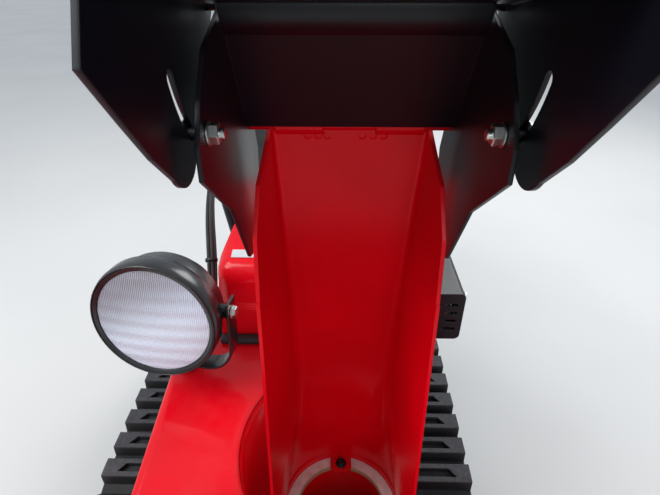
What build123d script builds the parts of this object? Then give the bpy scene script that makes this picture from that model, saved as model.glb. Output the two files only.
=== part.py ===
from build123d import *
from math import asin, atan2, cos, degrees, hypot, pi, radians, sin, tan
import os

os.makedirs("parts", exist_ok=True)

# Tracked snow blower with a two-stage deflector. Millimetres, +Z up, -Y ahead,
# +X the machine's left. The origin lies on the ground in the middle of the machine.

# Plan of the whole machine
nose_reach = 470.0          # outlet axis forward to the housing's nose
grip_reach = 1130.0         # outlet axis back to the ends of the grips
outlet_x = 100.0
outlet_y = (nose_reach - grip_reach) / 2
grip_end_y = outlet_y + grip_reach
fit_gap = 0.3               # between pieces that are bolted together
running_gap = 0.05          # radial play of a shaft in its bore
clear = 6.0                 # between pieces that move past each other

# Auger housing
sheet = 4.0
side_sheet = 5.0
housing_inside = 780.0
back_reach = 85.0           # outlet axis forward to the housing's back sheet
auger_radius = 170.0
auger_room = 15.0
auger_z = 205.0
crown_radius = 70.0
crown_z = 380.0
roof_rise = 26.0
mouth_roof = 55.0           # nose back to the roof's front edge
mouth_sill = 150.0          # nose back to the sill's front edge
nose_low = 60.0
nose_high = 200.0
side_foot = 10.0
cutter_setback = 50.0       # nose back to the drift cutter's bolt holes
cutter_z = 260.0
cutter_pitch = 100.0
cutter_hole = 5.5
lip = 14.0
housing_bore = auger_radius + auger_room
back_y = outlet_y - back_reach
auger_y = back_y - housing_bore
nose_y = outlet_y - nose_reach
sill_z = auger_z - housing_bore
roof_z = crown_z + crown_radius

# Impeller and its drum
impeller_z = 235.0
drum_bore = 160.0
drum_depth = 156.0          # behind the housing's back sheet
blade_reach = 150.0
blade_depth = 100.0
blade_sheet = 6.0
blade_bend = 110.0
blade_count = 4
impeller_hub = 28.0
impeller_shaft = 12.0
impeller_setback = 12.0     # back sheet to the blades' front edge
drum_back_y = back_y + sheet + drum_depth
blade_front_y = back_y + sheet + impeller_setback
blade_back_y = blade_front_y + blade_depth

# Auger
shaft_radius = 14.0
shaft_tube = 20.0
flight_width = 52.0
flight_sheet = 5.0
flight_lead = 330.0         # axial length of one turn
flight_steps = 12           # straight segments in one turn
spoke_width = 26.0
spoke_sheet = 7.0
gear_half = 42.0
gear_radius = 48.0
gear_neck = 27.0
gear_flange = 38.0

# Outlet, ring and chute
outlet_bore = 60.0
outlet_wall = 4.0
outlet_top = 465.0
ring_inner = 58.0
ring_outer = 73.7
ring_height = 6.0
ring_play = 0.4
collar_wall = 3.0
collar_drop = 20.0
collar_rise = 9.0
chute_sheet = 3.0
tab_width = 30.0
tab_reach = 25.0
tab_hole = 3.2
ring_top = outlet_top + ring_play + ring_height
collar_bore = ring_outer + fit_gap
collar_radius = collar_bore + collar_wall

# Deflectors
hinge_y = outlet_y + 4.5
hinge_z = 992.0
hinge_pin = 4.0
knuckle = 7.0
deflector_sheet = 2.5
plate_half = 75.5           # chute axis to a side plate's inner face
lean = 31.2                 # middle stage, forward of upright
middle_length = 99.4       # chute hinge to tip hinge
panel_start = 9.0
panel_ahead = 9.0           # panel in front of its hinges' axes
hood_start = 13.0          # panels start this far from their hinge
bolt_y = outlet_y - 110.0
bolt_z = 1022.0
bolt_radius = 3.0
slot_half = 4.0
slot_sweep = 24.0
tip_rise = 8.0
tip_length = 140.0
tip_y = hinge_y - middle_length * sin(radians(lean))
tip_z = hinge_z + middle_length * cos(radians(lean))
ear_half = plate_half + deflector_sheet + clear

# Tracks
track_half_gauge = 259.0
track_width = 172.0
track_span = 470.0
idler_reach = 178.0         # outlet axis back to the idler axle
wheel_radius = 110.0
belt = 9.0
lug_height = 24.0
lug_base = 40.0
lug_crest = 34.0
lug_count = 30
pocket_long = 118.0
pocket_short = 92.0
pocket_length = 16.0
pocket_depth = 12.0
belt_radius = wheel_radius + belt
axle_z = belt_radius + lug_height
idler_y = outlet_y + idler_reach
sprocket_y = idler_y + track_span

# Track frames, wheels and axle
channel_half = 36.0
channel_sheet = 5.0
channel_top = 168.0
channel_foot = 50.0
wheel_width = 50.0
idler_axle = 12.0
drive_axle_radius = 15.0
roller_radius = 32.0
roller_width = 56.0
roller_axle = 8.0
roller_reaches = (130.0, 235.0, 340.0)      # idler axle back to each roller
tooth_count = 12
cross_reach = 150.0         # idler axle back to the cross member
cross_size = 50.0
cross_z = 120.0
roller_z = lug_height + belt + roller_radius + fit_gap
cross_y = idler_y + cross_reach

# Main frame
frame_half = 136.0
frame_sheet = 6.0
bed_z = 296.0
bed_left = 190.0
bed_rear_y = 336.0
frame_waist = 190.0
frame_foot = 95.0
frame_rear_y = sprocket_y + 55.0
tow_hole = 8.0
transmission_half = 100.0
axle_tube = 30.0
axle_tube_half = 166.0
bed_top = bed_z + frame_sheet
frame_front_y = drum_back_y + fit_gap
case_front_y = frame_front_y + frame_sheet + fit_gap
case_depth = 58.0
case_half = 92.0

# Lift cylinder between the track frames and the machine
lift_pin = 8.0
lift_base_y = cross_y + cross_size / 2 + 20.0
lift_base_z = cross_z
lift_eye_y = 95.0
lift_eye_z = 262.0
lift_eye_play = 2.2
lift_barrel = 20.0
lift_rod = 8.0
lift_eye = 14.0
lift_barrel_start = 18.0
lift_barrel_end = 112.0
lift_rod_start = 44.0
lift_half = 10.0
ear_sheet = 6.0

# Front cover
cover_half = 138.0
cover_wall = 3.0
cover_front = 80.0          # outlet axis forward to the cover's front
cover_rear = 155.0          # outlet axis back to the cover's rear edge
cover_top = 607.0           # at the outlet axis
cover_slope = 8.0
cover_foot = 420.0
cover_round = 16.0
recess_radius = 119.0
recess_floor = 452.0
recess_hole = collar_radius + clear + 8.0

# Engine, bonnet and skirt
crank_x = -40.0
crank_z = bed_top + 106.0
engine_right = -60.0
engine_left = 170.0
engine_front = 172.0        # outlet axis back to the block's front
engine_rear = 418.0
engine_top = 600.0
bonnet_right = -75.0
bonnet_left = 185.0
bonnet_front = 158.0
bonnet_rear = 430.0
bonnet_wall = 3.0
bonnet_foot = 450.0
bonnet_step_z = 687.0
bonnet_step = 5.0
bonnet_brow_z = 746.0
bonnet_crest_z = 790.0
bonnet_round = 22.0
seal_height = 11.0
seal_z = 629.0
louvre_rows = 4
louvre_height = 12.0
louvre_length = 150.0
starter_radius = 84.0
starter_depth = 34.0

# Muffler and its guard
guard_right = 195.0
guard_left = 290.0
guard_front = 217.5         # outlet axis back to the guard's front
guard_length = 200.0
guard_foot = 576.0
guard_top = 667.0
guard_sheet = 2.5
guard_slot_height = 6.0
guard_slot_pitch = 16.0
muffler_radius = 34.0

# Rear column, tank and console
column_half = 105.0
tank_right = -100.0
tank_left = 150.0
tank_setback = 12.0         # bonnet's back to the tank's front
tank_length = 138.0
tank_front = outlet_y + bonnet_rear + tank_setback
column_front = tank_front + tank_length
tank_foot = 560.0
tank_top = 700.0
tank_round = 18.0
console_rear = grip_end_y - 190.0
column_top_front = (console_rear - 180.0, 830.0)
column_top_rear = (console_rear - 50.0, 800.0)
column_waist = (console_rear - 214.0, 560.0)
console_half = 190.0
console_front = console_rear - 190.0
console_brow = (console_rear - 150.0, 925.0)
console_heel_z = 862.0

# Handlebars
bar_radius = 14.0
grip_wall = 4.0
grip_length = 125.0
grip_x = 255.0
grip_z = 925.0

# Lamp
lamp_x = -105.0
lamp_reach = 47.5           # outlet axis back to the rim's centre
lamp_z = 746.0
lamp_yaw = 8.0
lamp_tilt = 3.0
rim_radius = 76.0
rim_depth = 16.0
bowl_radius = 68.0
lamp_cap_radius = 48.0
lamp_depth = 78.0
lens_radius = 69.0
strap_sheet = 4.0
strap_width = 26.0
strap_back = 34.0           # rim's centre back to the strap's middle

# Control cables
cable_radius = 8.0


def ahead(y):
    """Sketch plane at y, seen from the front: x to the left of the machine, z up."""
    return Plane.XZ.offset(-y)


def housing_line(start_x, grow, shift):
    """Closed side view of the housing's inside, grown by a sheet, its mouth shifted ahead."""
    with BuildSketch(Plane.YZ.offset(start_x)) as view:
        with BuildLine():
            sill = Line((nose_y + mouth_sill - shift, sill_z - grow), (auger_y, sill_z - grow))
            heel = CenterArc((auger_y, auger_z), housing_bore + grow, -90, 90)
            back = Line(heel @ 1, (back_y + grow, crown_z))
            crown = CenterArc((back_y - crown_radius, crown_z), crown_radius + grow, 0, 90)
            roof = Line(crown @ 1, (nose_y + mouth_roof - shift, roof_z + roof_rise + grow))
            Line(roof @ 1, sill @ 0)
        make_face()
    return view.sketch


housing_outer = housing_line(-housing_inside / 2, sheet, 0)
housing_inner = housing_line(-housing_inside / 2, 0, 40)
drum_trim = housing_line(-drum_bore - 2 * sheet, sheet + fit_gap, 40)

# Auger housing: one bent sheet between two side plates
with BuildPart() as auger_housing:
    extrude(housing_outer, amount=housing_inside, dir=(1, 0, 0))
    extrude(housing_inner, amount=housing_inside, dir=(1, 0, 0), mode=Mode.SUBTRACT)
    with BuildSketch(ahead(back_y + 2 * sheet)):
        with Locations((0, impeller_z)):
            Circle(drum_bore)
    extrude(amount=housing_bore, mode=Mode.SUBTRACT)
    for side_x, way in ((housing_inside / 2, 1), (-housing_inside / 2, -1)):
        with BuildSketch(Plane.YZ.offset(side_x)):
            with BuildLine():
                sill = Line((nose_y + side_foot, side_foot), (auger_y, sill_z - sheet))
                heel = CenterArc((auger_y, auger_z), housing_bore + sheet, -90, 90)
                back = Line(heel @ 1, (back_y + sheet, crown_z))
                crown = CenterArc((back_y - crown_radius, crown_z), crown_radius + sheet, 0, 90)
                roof = Line(crown @ 1, (nose_y + mouth_roof, roof_z + roof_rise + sheet))
                Polyline(roof @ 1, (nose_y, nose_high), (nose_y, nose_low), sill @ 0)
            make_face()
            with Locations((nose_y + cutter_setback, cutter_z), (nose_y + cutter_setback, cutter_z + cutter_pitch)):
                Circle(cutter_hole, mode=Mode.SUBTRACT)
        extrude(amount=way * side_sheet)
        with BuildSketch(Plane.YZ.offset(side_x)):
            with Locations((auger_y, auger_z)):
                RegularPolygon(40, 6)
        extrude(amount=way * (side_sheet + 8))
        with BuildSketch(Plane.YZ.offset(side_x)):
            with Locations((auger_y, auger_z)):
                Circle(shaft_radius + running_gap)
        extrude(amount=way * (side_sheet + 8), mode=Mode.SUBTRACT)
    with BuildSketch(Plane.YZ):
        with Locations((nose_y + mouth_roof + lip / 2, roof_z + roof_rise + lip / 2)):
            Rectangle(lip, lip)
    extrude(amount=housing_inside / 2, both=True)
auger_housing.part.label = "auger_housing"
export_step(auger_housing.part, "parts/auger_housing.step")

# Scraper blade under the sill
with BuildPart() as scraper_blade:
    with BuildSketch(Plane.YZ):
        blade_y = nose_y + mouth_sill
        blade_z = sill_z - sheet - fit_gap
        Polygon((blade_y - 40, 4), (blade_y - 34, 4), (blade_y + 4, blade_z - 6),
                (blade_y + 40, blade_z - 6), (blade_y + 40, blade_z), (blade_y, blade_z), align=None)
    extrude(amount=housing_inside / 2 - fit_gap, both=True)
scraper_blade.part.label = "scraper_blade"
export_step(scraper_blade.part, "parts/scraper_blade.step")

# Skid shoes outside the side plates
shoe_x = housing_inside / 2 + side_sheet + fit_gap
with BuildPart() as skid_shoes:
    for way in (1, -1):
        with BuildSketch(Plane.YZ.offset(way * shoe_x)):
            Polygon((auger_y + 30, 3), (auger_y + 150, 3), (auger_y + 178, 30), (auger_y + 168, 92),
                    (auger_y + 40, 92), (auger_y - 6, 30), align=None)
        extrude(amount=way * 7)
        with BuildSketch(Plane.YZ.offset(way * shoe_x)):
            Polygon((auger_y + 30, 3), (auger_y + 150, 3), (auger_y + 178, 30), (auger_y + 172, 34),
                    (auger_y + 147, 10), (auger_y + 33, 10), (auger_y, 34), (auger_y - 6, 30), align=None)
        extrude(amount=way * 25)
skid_shoes.part.label = "skid_shoes"
export_step(skid_shoes.part, "parts/skid_shoes.step")

# Auger: two double ribbons on spokes, wound to carry snow to the middle
flight_radius = auger_radius - flight_width / 2
flight_start = gear_half + 14
flight_length = housing_inside / 2 - flight_start - 14
flight_segments = round(flight_length / flight_lead * flight_steps)
with BuildPart() as auger:
    with BuildSketch(Plane.YZ):
        with Locations((auger_y, auger_z)):
            Circle(shaft_radius)
    extrude(amount=housing_inside / 2 + side_sheet + 6, both=True)
    for way in (1, -1):
        with BuildSketch(Plane.YZ.offset(way * (gear_half + 4))):
            with Locations((auger_y, auger_z)):
                Circle(shaft_tube)
        extrude(amount=way * (housing_inside / 2 - gear_half - 10))
        for start_angle in (0, 180):
            for step in range(flight_segments + 1):
                turn = radians(start_angle + way * step * 360 / flight_steps)
                flight_x = way * (flight_start + step * flight_length / flight_segments)
                out = (0, cos(turn), sin(turn))
                middle = (flight_x, auger_y + flight_radius * out[1], auger_z + flight_radius * out[2])
                with BuildSketch(Plane(origin=middle, x_dir=out, z_dir=(0, -out[2], out[1]))):
                    Rectangle(flight_width, flight_sheet)
            loft(ruled=True)
            for step in (1, flight_segments // 2, flight_segments - 1):
                turn = radians(start_angle + way * step * 360 / flight_steps)
                flight_x = way * (flight_start + step * flight_length / flight_segments)
                out = (0, cos(turn), sin(turn))
                with BuildSketch(Plane(origin=(flight_x, auger_y, auger_z), x_dir=(1, 0, 0), z_dir=out)):
                    Rectangle(spoke_sheet, spoke_width)
                extrude(amount=auger_radius - flight_width / 2)
auger.part.label = "auger"
export_step(auger.part, "parts/auger.step")

# Gear case on the auger shaft, with a neck round the impeller shaft
neck_front_y = auger_y + 30
neck_rear_y = blade_front_y - clear
with BuildPart() as auger_gear_case:
    with BuildSketch(Plane.YZ):
        with Locations((auger_y, auger_z)):
            Circle(gear_radius)
        with Locations((auger_y, impeller_z)):
            Circle(gear_neck + 8)
    extrude(amount=gear_half - 8, both=True)
    with BuildSketch(Plane.YZ):
        with Locations((auger_y, auger_z)):
            Circle(gear_flange)
    extrude(amount=gear_half, both=True)
    with BuildSketch(ahead(auger_y)):
        with Locations((0, impeller_z)):
            Circle(gear_neck + 8)
    extrude(amount=-60)
    with BuildSketch(ahead(auger_y)):
        with Locations((0, impeller_z)):
            Circle(gear_neck)
    extrude(amount=auger_y - neck_rear_y)
    with BuildSketch(Plane.YZ):
        with Locations((auger_y, auger_z)):
            Circle(shaft_radius + running_gap)
    extrude(amount=gear_half, both=True, mode=Mode.SUBTRACT)
    with BuildSketch(ahead(neck_front_y)):
        with Locations((0, impeller_z)):
            Circle(impeller_shaft + running_gap)
    extrude(amount=neck_front_y - neck_rear_y, mode=Mode.SUBTRACT)
auger_gear_case.part.label = "auger_gear_case"
export_step(auger_gear_case.part, "parts/auger_gear_case.step")

# Impeller: hub, back disc and bent blades on the long shaft
with BuildPart() as impeller:
    with BuildSketch(ahead(blade_back_y)):
        with Locations((0, impeller_z)):
            Circle(impeller_hub)
    extrude(amount=blade_depth)
    with BuildSketch(ahead(blade_back_y)):
        with Locations((0, impeller_z)):
            Circle(blade_bend)
    extrude(amount=blade_sheet)
    for index in range(blade_count):
        angle = index * 360 / blade_count + 20
        with BuildSketch(ahead(blade_back_y)):
            with Locations(Location((0, impeller_z, 0), (0, 0, angle))):
                Polygon((impeller_hub - 6, -blade_sheet / 2), (blade_bend, -blade_sheet / 2),
                        (blade_reach, -24), (blade_reach - 2, -18), (blade_bend, blade_sheet / 2),
                        (impeller_hub - 6, blade_sheet / 2), align=None)
        extrude(amount=blade_depth)
    with BuildSketch(ahead(case_front_y + case_depth / 2)):
        with Locations((0, impeller_z)):
            Circle(impeller_shaft)
    extrude(amount=case_front_y + case_depth / 2 - neck_front_y - 4)
impeller.part.label = "impeller"
export_step(impeller.part, "parts/impeller.step")

# Impeller drum with its upright outlet
drum_radius = drum_bore + sheet
drum_front_y = auger_y + 60
with BuildPart() as impeller_housing:
    with BuildSketch(ahead(drum_back_y)):
        with Locations((0, impeller_z)):
            Circle(drum_radius)
    extrude(amount=drum_back_y - drum_front_y)
    with BuildSketch(Plane.XY.offset(impeller_z)):
        with Locations((outlet_x, outlet_y)):
            Circle(outlet_bore + outlet_wall)
    extrude(amount=outlet_top - impeller_z)
    with BuildSketch(Plane.XY.offset(outlet_top)):
        with Locations((outlet_x, outlet_y)):
            Circle(collar_bore - clear)
    extrude(amount=-5)
    with BuildSketch(ahead(drum_back_y - sheet)):
        with Locations((0, impeller_z)):
            Circle(drum_bore)
    extrude(amount=drum_back_y - sheet - drum_front_y, mode=Mode.SUBTRACT)
    with BuildSketch(Plane.XY.offset(impeller_z)):
        with Locations((outlet_x, outlet_y)):
            Circle(outlet_bore)
    extrude(amount=outlet_top - impeller_z, mode=Mode.SUBTRACT)
    extrude(drum_trim, amount=2 * (drum_bore + 2 * sheet), dir=(1, 0, 0), mode=Mode.SUBTRACT)
    with BuildSketch(ahead(drum_back_y)):
        with Locations((0, impeller_z)):
            Circle(impeller_shaft + running_gap)
    extrude(amount=2 * sheet, mode=Mode.SUBTRACT)
impeller_housing.part.label = "impeller_housing"
export_step(impeller_housing.part, "parts/impeller_housing.step")


def loop_place(distance):
    """Point on the belt's outside and its outward angle, at a distance along the loop."""
    arc = pi * belt_radius
    if distance < track_span:
        return idler_y + distance, axle_z - belt_radius, -90.0
    distance -= track_span
    if distance < arc:
        angle = -90 + degrees(distance / belt_radius)
        return (sprocket_y + belt_radius * cos(radians(angle)),
                axle_z + belt_radius * sin(radians(angle)), angle)
    distance -= arc
    if distance < track_span:
        return sprocket_y - distance, axle_z + belt_radius, 90.0
    angle = 90 + degrees((distance - track_span) / belt_radius)
    return (idler_y + belt_radius * cos(radians(angle)),
            axle_z + belt_radius * sin(radians(angle)), angle)


loop_length = 2 * track_span + 2 * pi * belt_radius
lug_places = [loop_place((index + 0.5) * loop_length / lug_count) for index in range(lug_count)]

# Rubber tracks: one loop each, with pocketed lugs right across
with BuildPart() as track_left:
    with BuildSketch(Plane.YZ.offset(track_half_gauge)):
        with Locations(((idler_y + sprocket_y) / 2, axle_z)):
            SlotCenterToCenter(track_span, 2 * belt_radius)
            SlotCenterToCenter(track_span, 2 * wheel_radius, mode=Mode.SUBTRACT)
        with Locations(*[Location((y, z, 0), (0, 0, angle)) for y, z, angle in lug_places]):
            Polygon((-belt / 2, -lug_base / 2), (lug_height, -lug_crest / 2),
                    (lug_height, lug_crest / 2), (-belt / 2, lug_base / 2), align=None)
        with Locations(((idler_y + sprocket_y) / 2, axle_z)):
            SlotCenterToCenter(track_span, 2 * axle_z, mode=Mode.INTERSECT)
    extrude(amount=track_width / 2, both=True)
    pocket_planes = []
    for y, z, angle in lug_places:
        out_y = cos(radians(angle))
        out_z = sin(radians(angle))
        crest = (track_half_gauge, y + lug_height * out_y, z + lug_height * out_z)
        pocket_planes.append(Plane(origin=crest, x_dir=(1, 0, 0), z_dir=(0, out_y, out_z)))
    with BuildSketch(*pocket_planes):
        Polygon((-pocket_long / 2, -pocket_length / 2), (pocket_long / 2, -pocket_length / 2),
                (pocket_short / 2, pocket_length / 2), (-pocket_short / 2, pocket_length / 2), align=None)
    extrude(amount=-pocket_depth, mode=Mode.SUBTRACT)
track_left.part.label = "track_left"
export_step(track_left.part, "parts/track_left.step")

with BuildPart() as track_right:
    mirror(track_left.part, about=Plane.YZ)
track_right.part.label = "track_right"
export_step(track_right.part, "parts/track_right.step")

# Track frames: inverted channels that carry the wheels inside each loop
with BuildPart() as track_frame_left:
    for plate_x in (track_half_gauge - channel_half - channel_sheet, track_half_gauge + channel_half):
        with BuildSketch(Plane.YZ.offset(plate_x)):
            Polygon((idler_y, axle_z - 30), (idler_y + 90, channel_foot), (sprocket_y - 90, channel_foot),
                    (sprocket_y, axle_z - 40), (sprocket_y, axle_z + 40), (sprocket_y - 70, channel_top),
                    (idler_y + 70, channel_top), (idler_y, axle_z + 30), align=None)
            with Locations((idler_y, axle_z)):
                Circle(30)
            with Locations((sprocket_y, axle_z)):
                Circle(40)
                Circle(drive_axle_radius + fit_gap, mode=Mode.SUBTRACT)
            with Locations((idler_y, axle_z)):
                Circle(idler_axle + fit_gap, mode=Mode.SUBTRACT)
            with Locations(*[(idler_y + reach, roller_z) for reach in roller_reaches]):
                Circle(roller_axle + fit_gap, mode=Mode.SUBTRACT)
        extrude(amount=channel_sheet)
    with BuildSketch(Plane.XY.offset(channel_top)):
        with Locations((track_half_gauge, (idler_y + sprocket_y) / 2)):
            Rectangle(2 * (channel_half + channel_sheet), track_span - 2 * wheel_radius - 20)
    extrude(amount=-channel_sheet)
track_frame_left.part.label = "track_frame_left"
export_step(track_frame_left.part, "parts/track_frame_left.step")

with BuildPart() as track_frame_right:
    mirror(track_frame_left.part, about=Plane.YZ)
track_frame_right.part.label = "track_frame_right"
export_step(track_frame_right.part, "parts/track_frame_right.step")

# Front idlers with their axles
axle_half = channel_half + channel_sheet + 8
with BuildPart() as idler_wheels:
    for way in (1, -1):
        middle_x = way * track_half_gauge
        with BuildSketch(Plane.YZ.offset(middle_x)):
            with Locations((idler_y, axle_z)):
                Circle(wheel_radius - fit_gap)
                with PolarLocations(62, 6):
                    Circle(15, mode=Mode.SUBTRACT)
        extrude(amount=wheel_width / 2, both=True)
        for face_x, inward in ((middle_x + wheel_width / 2, -1), (middle_x - wheel_width / 2, 1)):
            with BuildSketch(Plane.YZ.offset(face_x)):
                with Locations((idler_y, axle_z)):
                    Circle(wheel_radius - 16)
                    Circle(30, mode=Mode.SUBTRACT)
            extrude(amount=inward * 18, mode=Mode.SUBTRACT)
        with BuildSketch(Plane.YZ.offset(middle_x)):
            with Locations((idler_y, axle_z)):
                Circle(idler_axle)
        extrude(amount=axle_half, both=True)
idler_wheels.part.label = "idler_wheels"
export_step(idler_wheels.part, "parts/idler_wheels.step")

# Drive sprockets at the rear
with BuildPart() as drive_sprockets:
    for way in (1, -1):
        with BuildSketch(Plane.YZ.offset(way * track_half_gauge)):
            with Locations((sprocket_y, axle_z)):
                Circle(wheel_radius - 12)
                with PolarLocations(wheel_radius - 12, tooth_count):
                    Rectangle(2 * (12 - 1), 16)
                with PolarLocations(64, 6):
                    Circle(14, mode=Mode.SUBTRACT)
        extrude(amount=20, both=True)
        with BuildSketch(Plane.YZ.offset(way * track_half_gauge)):
            with Locations((sprocket_y, axle_z)):
                Circle(34)
        extrude(amount=channel_half - 2, both=True)
        with BuildSketch(Plane.YZ.offset(way * track_half_gauge)):
            with Locations((sprocket_y, axle_z)):
                Circle(drive_axle_radius + fit_gap)
        extrude(amount=channel_half, both=True, mode=Mode.SUBTRACT)
drive_sprockets.part.label = "drive_sprockets"
export_step(drive_sprockets.part, "parts/drive_sprockets.step")

# Bottom rollers
with BuildPart() as track_rollers:
    for way in (1, -1):
        for reach in roller_reaches:
            with BuildSketch(Plane.YZ.offset(way * track_half_gauge)):
                with Locations((idler_y + reach, roller_z)):
                    Circle(roller_radius)
            extrude(amount=roller_width / 2, both=True)
            with BuildSketch(Plane.YZ.offset(way * track_half_gauge)):
                with Locations((idler_y + reach, roller_z)):
                    Circle(roller_radius + 1)
                    Circle(roller_radius - 8, mode=Mode.SUBTRACT)
            extrude(amount=roller_width / 6, both=True, mode=Mode.SUBTRACT)
            with BuildSketch(Plane.YZ.offset(way * track_half_gauge)):
                with Locations((idler_y + reach, roller_z)):
                    Circle(roller_axle)
            extrude(amount=axle_half, both=True)
track_rollers.part.label = "track_rollers"
export_step(track_rollers.part, "parts/track_rollers.step")

# Drive axle right across, on which the machine tips
with BuildPart() as drive_axle:
    with BuildSketch(Plane.YZ):
        with Locations((sprocket_y, axle_z)):
            Circle(drive_axle_radius)
    extrude(amount=track_half_gauge + axle_half, both=True)
drive_axle.part.label = "drive_axle"
export_step(drive_axle.part, "parts/drive_axle.step")

# Cross member between the track frames, with ears for the lift cylinder
with BuildPart() as track_cross_member:
    with BuildSketch(Plane.YZ):
        with Locations((cross_y, cross_z)):
            Rectangle(cross_size, cross_size)
            Rectangle(cross_size - 10, cross_size - 10, mode=Mode.SUBTRACT)
    extrude(amount=track_half_gauge - channel_half - channel_sheet, both=True)
    for ear_x in (lift_half + 2, -lift_half - 2 - ear_sheet):
        with BuildSketch(Plane.YZ.offset(ear_x)):
            with Locations((lift_base_y, lift_base_z)):
                Circle(16)
            with Locations(((cross_y + cross_size / 2 + lift_base_y) / 2, lift_base_z)):
                Rectangle(lift_base_y - cross_y - cross_size / 2, 32)
        extrude(amount=ear_sheet)
    with BuildSketch(Plane.YZ):
        with Locations((lift_base_y, lift_base_z)):
            Circle(lift_pin)
    extrude(amount=lift_half + 2 + ear_sheet, both=True)
track_cross_member.part.label = "track_cross_member"
export_step(track_cross_member.part, "parts/track_cross_member.step")

# Lift cylinder, drawn along its own line from base pin to rod eye
lift_length = hypot(lift_eye_y - lift_base_y, lift_eye_z - lift_base_z)
lift_way = (0, (lift_eye_y - lift_base_y) / lift_length, (lift_eye_z - lift_base_z) / lift_length)
lift_plane = Plane(origin=(0, lift_base_y, lift_base_z), x_dir=(1, 0, 0), z_dir=lift_way)
with BuildPart() as lift_barrel_part:
    with BuildSketch(lift_plane.offset(lift_barrel_start)):
        Circle(lift_barrel)
    extrude(amount=lift_barrel_end - lift_barrel_start)
    with BuildSketch(Plane.YZ):
        with Locations((lift_base_y, lift_base_z)):
            Circle(lift_eye)
    extrude(amount=lift_half, both=True)
    with BuildSketch(lift_plane):
        Rectangle(2 * lift_half, 2 * lift_eye)
    extrude(amount=lift_barrel_start + 2)
    with BuildSketch(Plane.YZ):
        with Locations((lift_base_y, lift_base_z)):
            Circle(lift_pin + running_gap)
    extrude(amount=lift_half, both=True, mode=Mode.SUBTRACT)
    with BuildSketch(lift_plane.offset(lift_rod_start - 6)):
        Circle(lift_rod + running_gap)
    extrude(amount=lift_barrel_end, mode=Mode.SUBTRACT)
lift_barrel_part.part.label = "lift_barrel"
export_step(lift_barrel_part.part, "parts/lift_barrel.step")

with BuildPart() as lift_rod_part:
    with BuildSketch(lift_plane.offset(lift_rod_start)):
        Circle(lift_rod)
    extrude(amount=lift_length - lift_rod_start)
    with BuildSketch(Plane.YZ):
        with Locations((lift_eye_y, lift_eye_z)):
            Circle(lift_eye + 2)
    extrude(amount=lift_half, both=True)
    with BuildSketch(Plane.YZ):
        with Locations((lift_eye_y, lift_eye_z)):
            Circle(lift_pin + lift_eye_play)
    extrude(amount=lift_half, both=True, mode=Mode.SUBTRACT)
lift_rod_part.part.label = "lift_rod"
export_step(lift_rod_part.part, "parts/lift_rod.step")

# Main frame: side plates, front plate, engine bed and an upright under the cover
with BuildPart() as main_frame:
    for plate_x in (frame_half - frame_sheet, -frame_half):
        with BuildSketch(Plane.YZ.offset(plate_x)):
            Polygon((frame_front_y, bed_z), (frame_front_y, frame_waist), (sprocket_y - 110, frame_waist),
                    (sprocket_y - 60, frame_foot), (frame_rear_y, frame_foot), (frame_rear_y, bed_z), align=None)
            with Locations((sprocket_y, axle_z)):
                Circle(axle_tube + fit_gap, mode=Mode.SUBTRACT)
            with Locations((frame_rear_y - 14, frame_foot + 20)):
                Circle(tow_hole, mode=Mode.SUBTRACT)
        extrude(amount=frame_sheet)
    with BuildSketch(Plane.XY.offset(bed_z)):
        with Locations(((bed_left - frame_half) / 2, (frame_front_y + bed_rear_y) / 2)):
            Rectangle(bed_left + frame_half, bed_rear_y - frame_front_y)
        with Locations((crank_x / 2 + 17, case_front_y + case_depth / 2)):
            Rectangle(2 * case_half + 14, case_depth + 2 * fit_gap, mode=Mode.SUBTRACT)
    extrude(amount=frame_sheet)
    with BuildSketch(ahead(frame_front_y + frame_sheet)):
        with Locations((0, (frame_waist + bed_top) / 2 + 40)):
            Rectangle(2 * frame_half, bed_top - frame_waist + 80)
        with Locations((0, impeller_z)):
            Circle(50, mode=Mode.SUBTRACT)
    extrude(amount=frame_sheet)
    upright_top = cover_top + (frame_front_y - outlet_y) * tan(radians(cover_slope)) - cover_wall - 0.6
    with BuildSketch(ahead(frame_front_y + frame_sheet)):
        with Locations((-95, (upright_top + bed_top) / 2)):
            Rectangle(56, upright_top - bed_top)
    extrude(amount=frame_sheet)
    for ear_x in (lift_half + 2, -lift_half - 2 - ear_sheet):
        with BuildSketch(Plane.YZ.offset(ear_x)):
            with Locations((lift_eye_y, lift_eye_z)):
                Circle(16)
            with Locations((lift_eye_y, (lift_eye_z + bed_z) / 2)):
                Rectangle(32, bed_z - lift_eye_z)
        extrude(amount=ear_sheet)
    with BuildSketch(Plane.YZ):
        with Locations((lift_eye_y, lift_eye_z)):
            Circle(lift_pin)
    extrude(amount=lift_half + 2 + ear_sheet, both=True)
    with BuildSketch(ahead(case_front_y + case_depth + fit_gap)):
        with Locations((0, (frame_waist + bed_z) / 2)):
            Rectangle(2 * frame_half, 30)
    extrude(amount=-frame_sheet)
main_frame.part.label = "main_frame"
export_step(main_frame.part, "parts/main_frame.step")

# Transmission round the drive axle
with BuildPart() as transmission_case:
    with BuildSketch(Plane.YZ):
        with Locations((sprocket_y, axle_z)):
            Circle(46)
        Polygon((sprocket_y - 46, axle_z), (sprocket_y + 46, axle_z), (sprocket_y + 40, bed_z - fit_gap),
                (sprocket_y - 70, bed_z - fit_gap), align=None)
    extrude(amount=transmission_half, both=True)
    with BuildSketch(Plane.YZ):
        with Locations((sprocket_y, axle_z)):
            Circle(axle_tube)
    extrude(amount=axle_tube_half, both=True)
    with BuildSketch(Plane.YZ):
        with Locations((sprocket_y, axle_z)):
            Circle(drive_axle_radius + running_gap)
    extrude(amount=axle_tube_half, both=True, mode=Mode.SUBTRACT)
transmission_case.part.label = "transmission_case"
export_step(transmission_case.part, "parts/transmission_case.step")

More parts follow.
